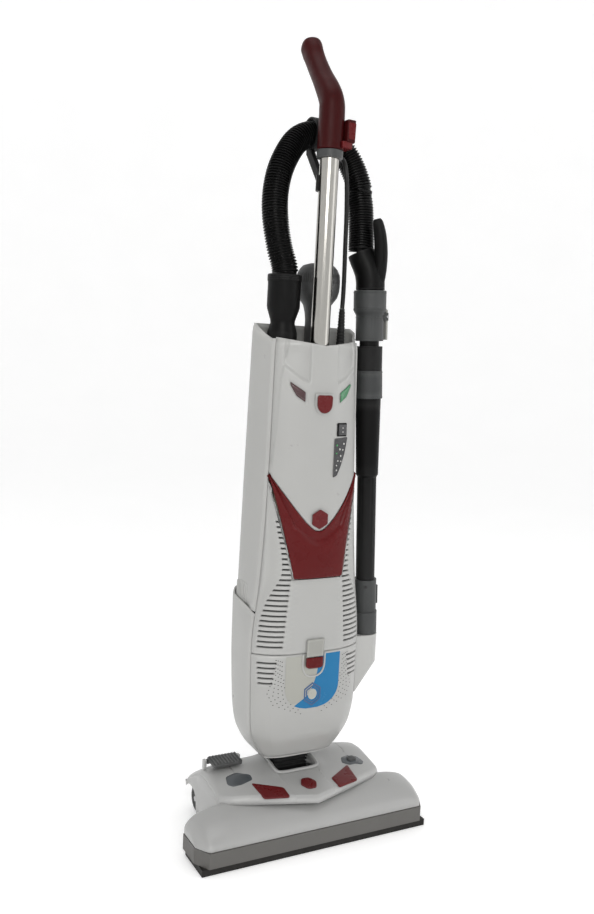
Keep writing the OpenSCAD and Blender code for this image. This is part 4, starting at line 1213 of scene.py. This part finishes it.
trims = []
for s in (-1, 1):
    trims.append(deck_patch(f"deck_insert_{'l' if s < 0 else 'r'}",
            [(s * 84, -27), (s * 41, -51), (s * 42, -75), (s * 80, -66)],
                            0.2, 0.9, "badge", HEAD, "maroon"))
hexa = deck_patch("deck_hexagon", [(13.5 * math.cos(math.radians(a)),
        -54 + 15 * math.sin(math.radians(a))) for a in range(0, 360, 60)],
                  0.6, 1.6, "badge", HEAD, "maroon")
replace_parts(hexa, "deck_trim")
wl = deck_patch("window_left", [(-118, -16), (-114, 0), (-96, 3), (-77, -8), (-78, -20), (-98, -25),
        (-112, -24)], 0.1, 0.7, "window", HEAD, "window_smoke")
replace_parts(wl, "belt_window")
deck_patch("window_right", [(78, -20), (83, -8), (98, -4), (102, -9), (112, -8), (118, -22), (110, -30),
        (100, -26), (88, -28)], 0.1, 0.7,
                   "window", HEAD, "window_smoke")
knob = deck_patch("height_knob_cap", [(92, -21), (90, -12), (103, -10), (107, -19)], 0.6, 3.4, "dark",
        "height_knob", "window_smoke")
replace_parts(knob, "height_slider")

# Pedal with a ribbed tread.
def pedal_at(x, y, h):
    t = math.radians(4)
    return (x, 40 + y * math.cos(t) - h * math.sin(t), 99 + y * math.sin(t) + h * math.cos(t))
tread = prism("pedal_tread", rounded([(-127.6, -27.8), (-80.6, -27.8), (-80.6, 2.6), (-127.6, 2.6)], 3,
        4), 1.6, 6.6, "dark", "pedal", 1.0, pedal_at,
              slot="dark_grey")
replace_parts(tread, "release_pedal")
for k in range(9):
    x = -124.8 + k * 5.2
    prism(f"pedal_rib_{k + 1}", [(x, -26.4), (x + 2.4, -26.4), (x + 2.4, 1.6), (x, 1.6)], 6.2, 7.8,
            "dark", "pedal", 0.6, pedal_at, slot="dark_grey")
lathe("pedal_shaft", (-134, 40, 99), (1, 0, 0), [(0.01, 0), (2, 0), (2, 6), (4, 6), (4, 54), (2, 54), (2,
        60), (0.01, 60)], "dark", "pedal", 24,
      slot="dark_grey")
for x in (-132, -76):
    block(f"pedal_lug_{'a' if x < -100 else 'b'}", (x - 2.4, 36.2, 88), (x + 2.4, 43.8, 102.8), "hood",
            HEAD, 1.0, slot="body_grey")

# Neck with bellows ribs.
dress("swivel_neck", "rubber", 0.8)
dress("recline_pin", "steel")

# Wheels: tread, hub and cap.
for node_name, s in (("left_wheel", -1), ("right_wheel", 1)):
    prof = [(4.1, -7.5), (9, -7.6), (12, -6.6), (15.4, -6.8), (16.4, -7.9), (19.6, -8), (21.0, -7.2),
            (21.4, -5.6)]
    for k in range(5):
        w = -4.8 + k * 2.2
        prof += [(21.45, w - 0.5), (21.45, w + 0.4), (20.9, w + 0.7), (20.9, w + 1.2)]
    prof += [(21.4, 5.9), (21.0, 7.2), (19.6, 8), (16.4, 7.9), (15.4, 6.6), (12, 6.4), (9, 7.4), (4.1, 7.4)]
    w = lathe(f"wheel_{'l' if s < 0 else 'r'}", (s * 120, 77, 21.5), (1, 0, 0), prof + [prof[0]], "dark",
            node_name + "_body", 56,
              slot="rubber_black", angle=30)
    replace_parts(w, node_name)
dress("wheel_axles", "steel")

# Drive inside the head, and the hidden pieces of the body.
for node_name, mat, bev in [("brush_motor", "motor", 0.8), ("motor_pulley", "steel", 0.3),
        ("drive_belt", "rubber", 0.0),
                            ("brush_core", "dark", 0.4), ("exhaust_filter", "filter", 2.0),
                            ("suction_motor", "motor", 1.0),
                            ("motor_seals", "rubber", 0.8), ("dust_bag", "bag", 4.0),
                            ("bag_holder", "light", 0.5)]:
    dress(node_name, mat, bev)

def bristle_rows():
    verts, faces = [], []
    for x0, x1 in ((-160, -135.5), (-119.5, 162)):
        n = int((x1 - x0) / 1.5)
        for i in range(n):
            x = mix(x0, x1, i / (n - 1))
            for row in range(3):
                base_a = math.radians(120 * row + (x - x0) * 1.1)
                for j in range(3):
                    wob = math.sin(i * 12.9 + row * 4.1 + j * 7.7)
                    a = base_a + (j - 1) * 0.075
                    dx = 0.5 * wob
                    r1 = 24.5 + 0.4 * wob
                    c = (math.cos(a), math.sin(a))
                    t = (-math.sin(a) * 0.55, math.cos(a) * 0.55)
                    b = len(verts)
                    verts += [(x + dx - 0.5, -68 + 11.5 * c[0] - t[0], 27 + 11.5 * c[1] - t[1]),
                              (x + dx + 0.5, -68 + 11.5 * c[0] + t[0], 27 + 11.5 * c[1] + t[1]),
                              (x + 1.5 * dx + 0.3, -68 + r1 * c[0] + t[0], 27 + r1 * c[1] + t[1]),
                              (x + 1.5 * dx - 0.3, -68 + r1 * c[0] - t[0], 27 + r1 * c[1] - t[1])]
                    faces.append((b, b + 1, b + 2, b + 3))
    o = make("roller_bristles", verts, faces, "bristle", "roller_brush", smooth=False, slot="bristle_black")
    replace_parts(o, "brush_bristles")
bristle_rows()

# ------------------------------------------------------------------ studio
def backdrop():
    """Pale floor that curves up into a wall on every side, so no horizon shows."""
    m, nd, lk, p = nodes_of("studio_floor")
    n = noise(nd, lk, 3.0, 4.0)
    c = ramp(nd, lk, n.outputs["Fac"], [(0.3, grey(0.95)), (0.7, grey(0.97))])
    lk.new(c.outputs["Color"], p.inputs["Base Color"])
    p.inputs["Roughness"].default_value = 0.9
    p.inputs["Specular IOR Level"].default_value = 0.1
    p.inputs["Emission Color"].default_value = (1.0, 1.0, 1.0, 1.0)
    p.inputs["Emission Strength"].default_value = 0.2
    me = bpy.data.meshes.new("studio_floor")
    profile = [(0.001, 0), (1, 0), (3, 0), (5, 0)]
    profile += [(5 + 4 * math.sin(math.radians(t)), 4 - 4 * math.cos(math.radians(t))) for t in range(6,
            91, 6)]
    profile += [(9, 7)]
    verts = [(r * math.cos(2 * math.pi * k / 72), r * math.sin(2 * math.pi * k / 72), z) for r,
            z in profile for k in range(72)]
    me.from_pydata(verts, [], grid_faces(len(profile), 72, True))
    me.polygons.foreach_set("use_smooth", [True] * len(me.polygons))
    me.materials.append(m)
    o = bpy.data.objects.new("studio_floor", me)
    bpy.context.scene.collection.objects.link(o)
    o.location.z = -0.0006

backdrop()

def area_light(name, at, target, size, power, color=(1, 1, 1)):
    d = bpy.data.lights.new(name, "AREA")
    d.shape = "RECTANGLE"
    d.size, d.size_y = size
    d.energy = power
    d.color = color
    o = bpy.data.objects.new(name, d)
    bpy.context.scene.collection.objects.link(o)
    o.location = at
    o.rotation_euler = (Vector(target) - Vector(at)).to_track_quat("-Z", "Y").to_euler()

area_light("key", (-1.3, -2.7, 2.0), (0, 0, 0.6), (1.5, 1.5), 34, (1.0, 0.99, 0.97))
area_light("fill", (2.4, -1.8, 1.6), (0, 0, 0.6), (1.4, 2.2), 10)
area_light("top", (-0.3, -0.2, 3.2), (0, 0, 0.6), (1.6, 1.6), 12)
world = bpy.data.worlds.new("studio")
world.use_nodes = True
bpy.context.scene.world = world
world.node_tree.nodes["Background"].inputs["Color"].default_value = (1.0, 1.0, 1.0, 1.0)
world.node_tree.nodes["Background"].inputs["Strength"].default_value = 0.60
bpy.context.scene.view_settings.view_transform = "Standard"
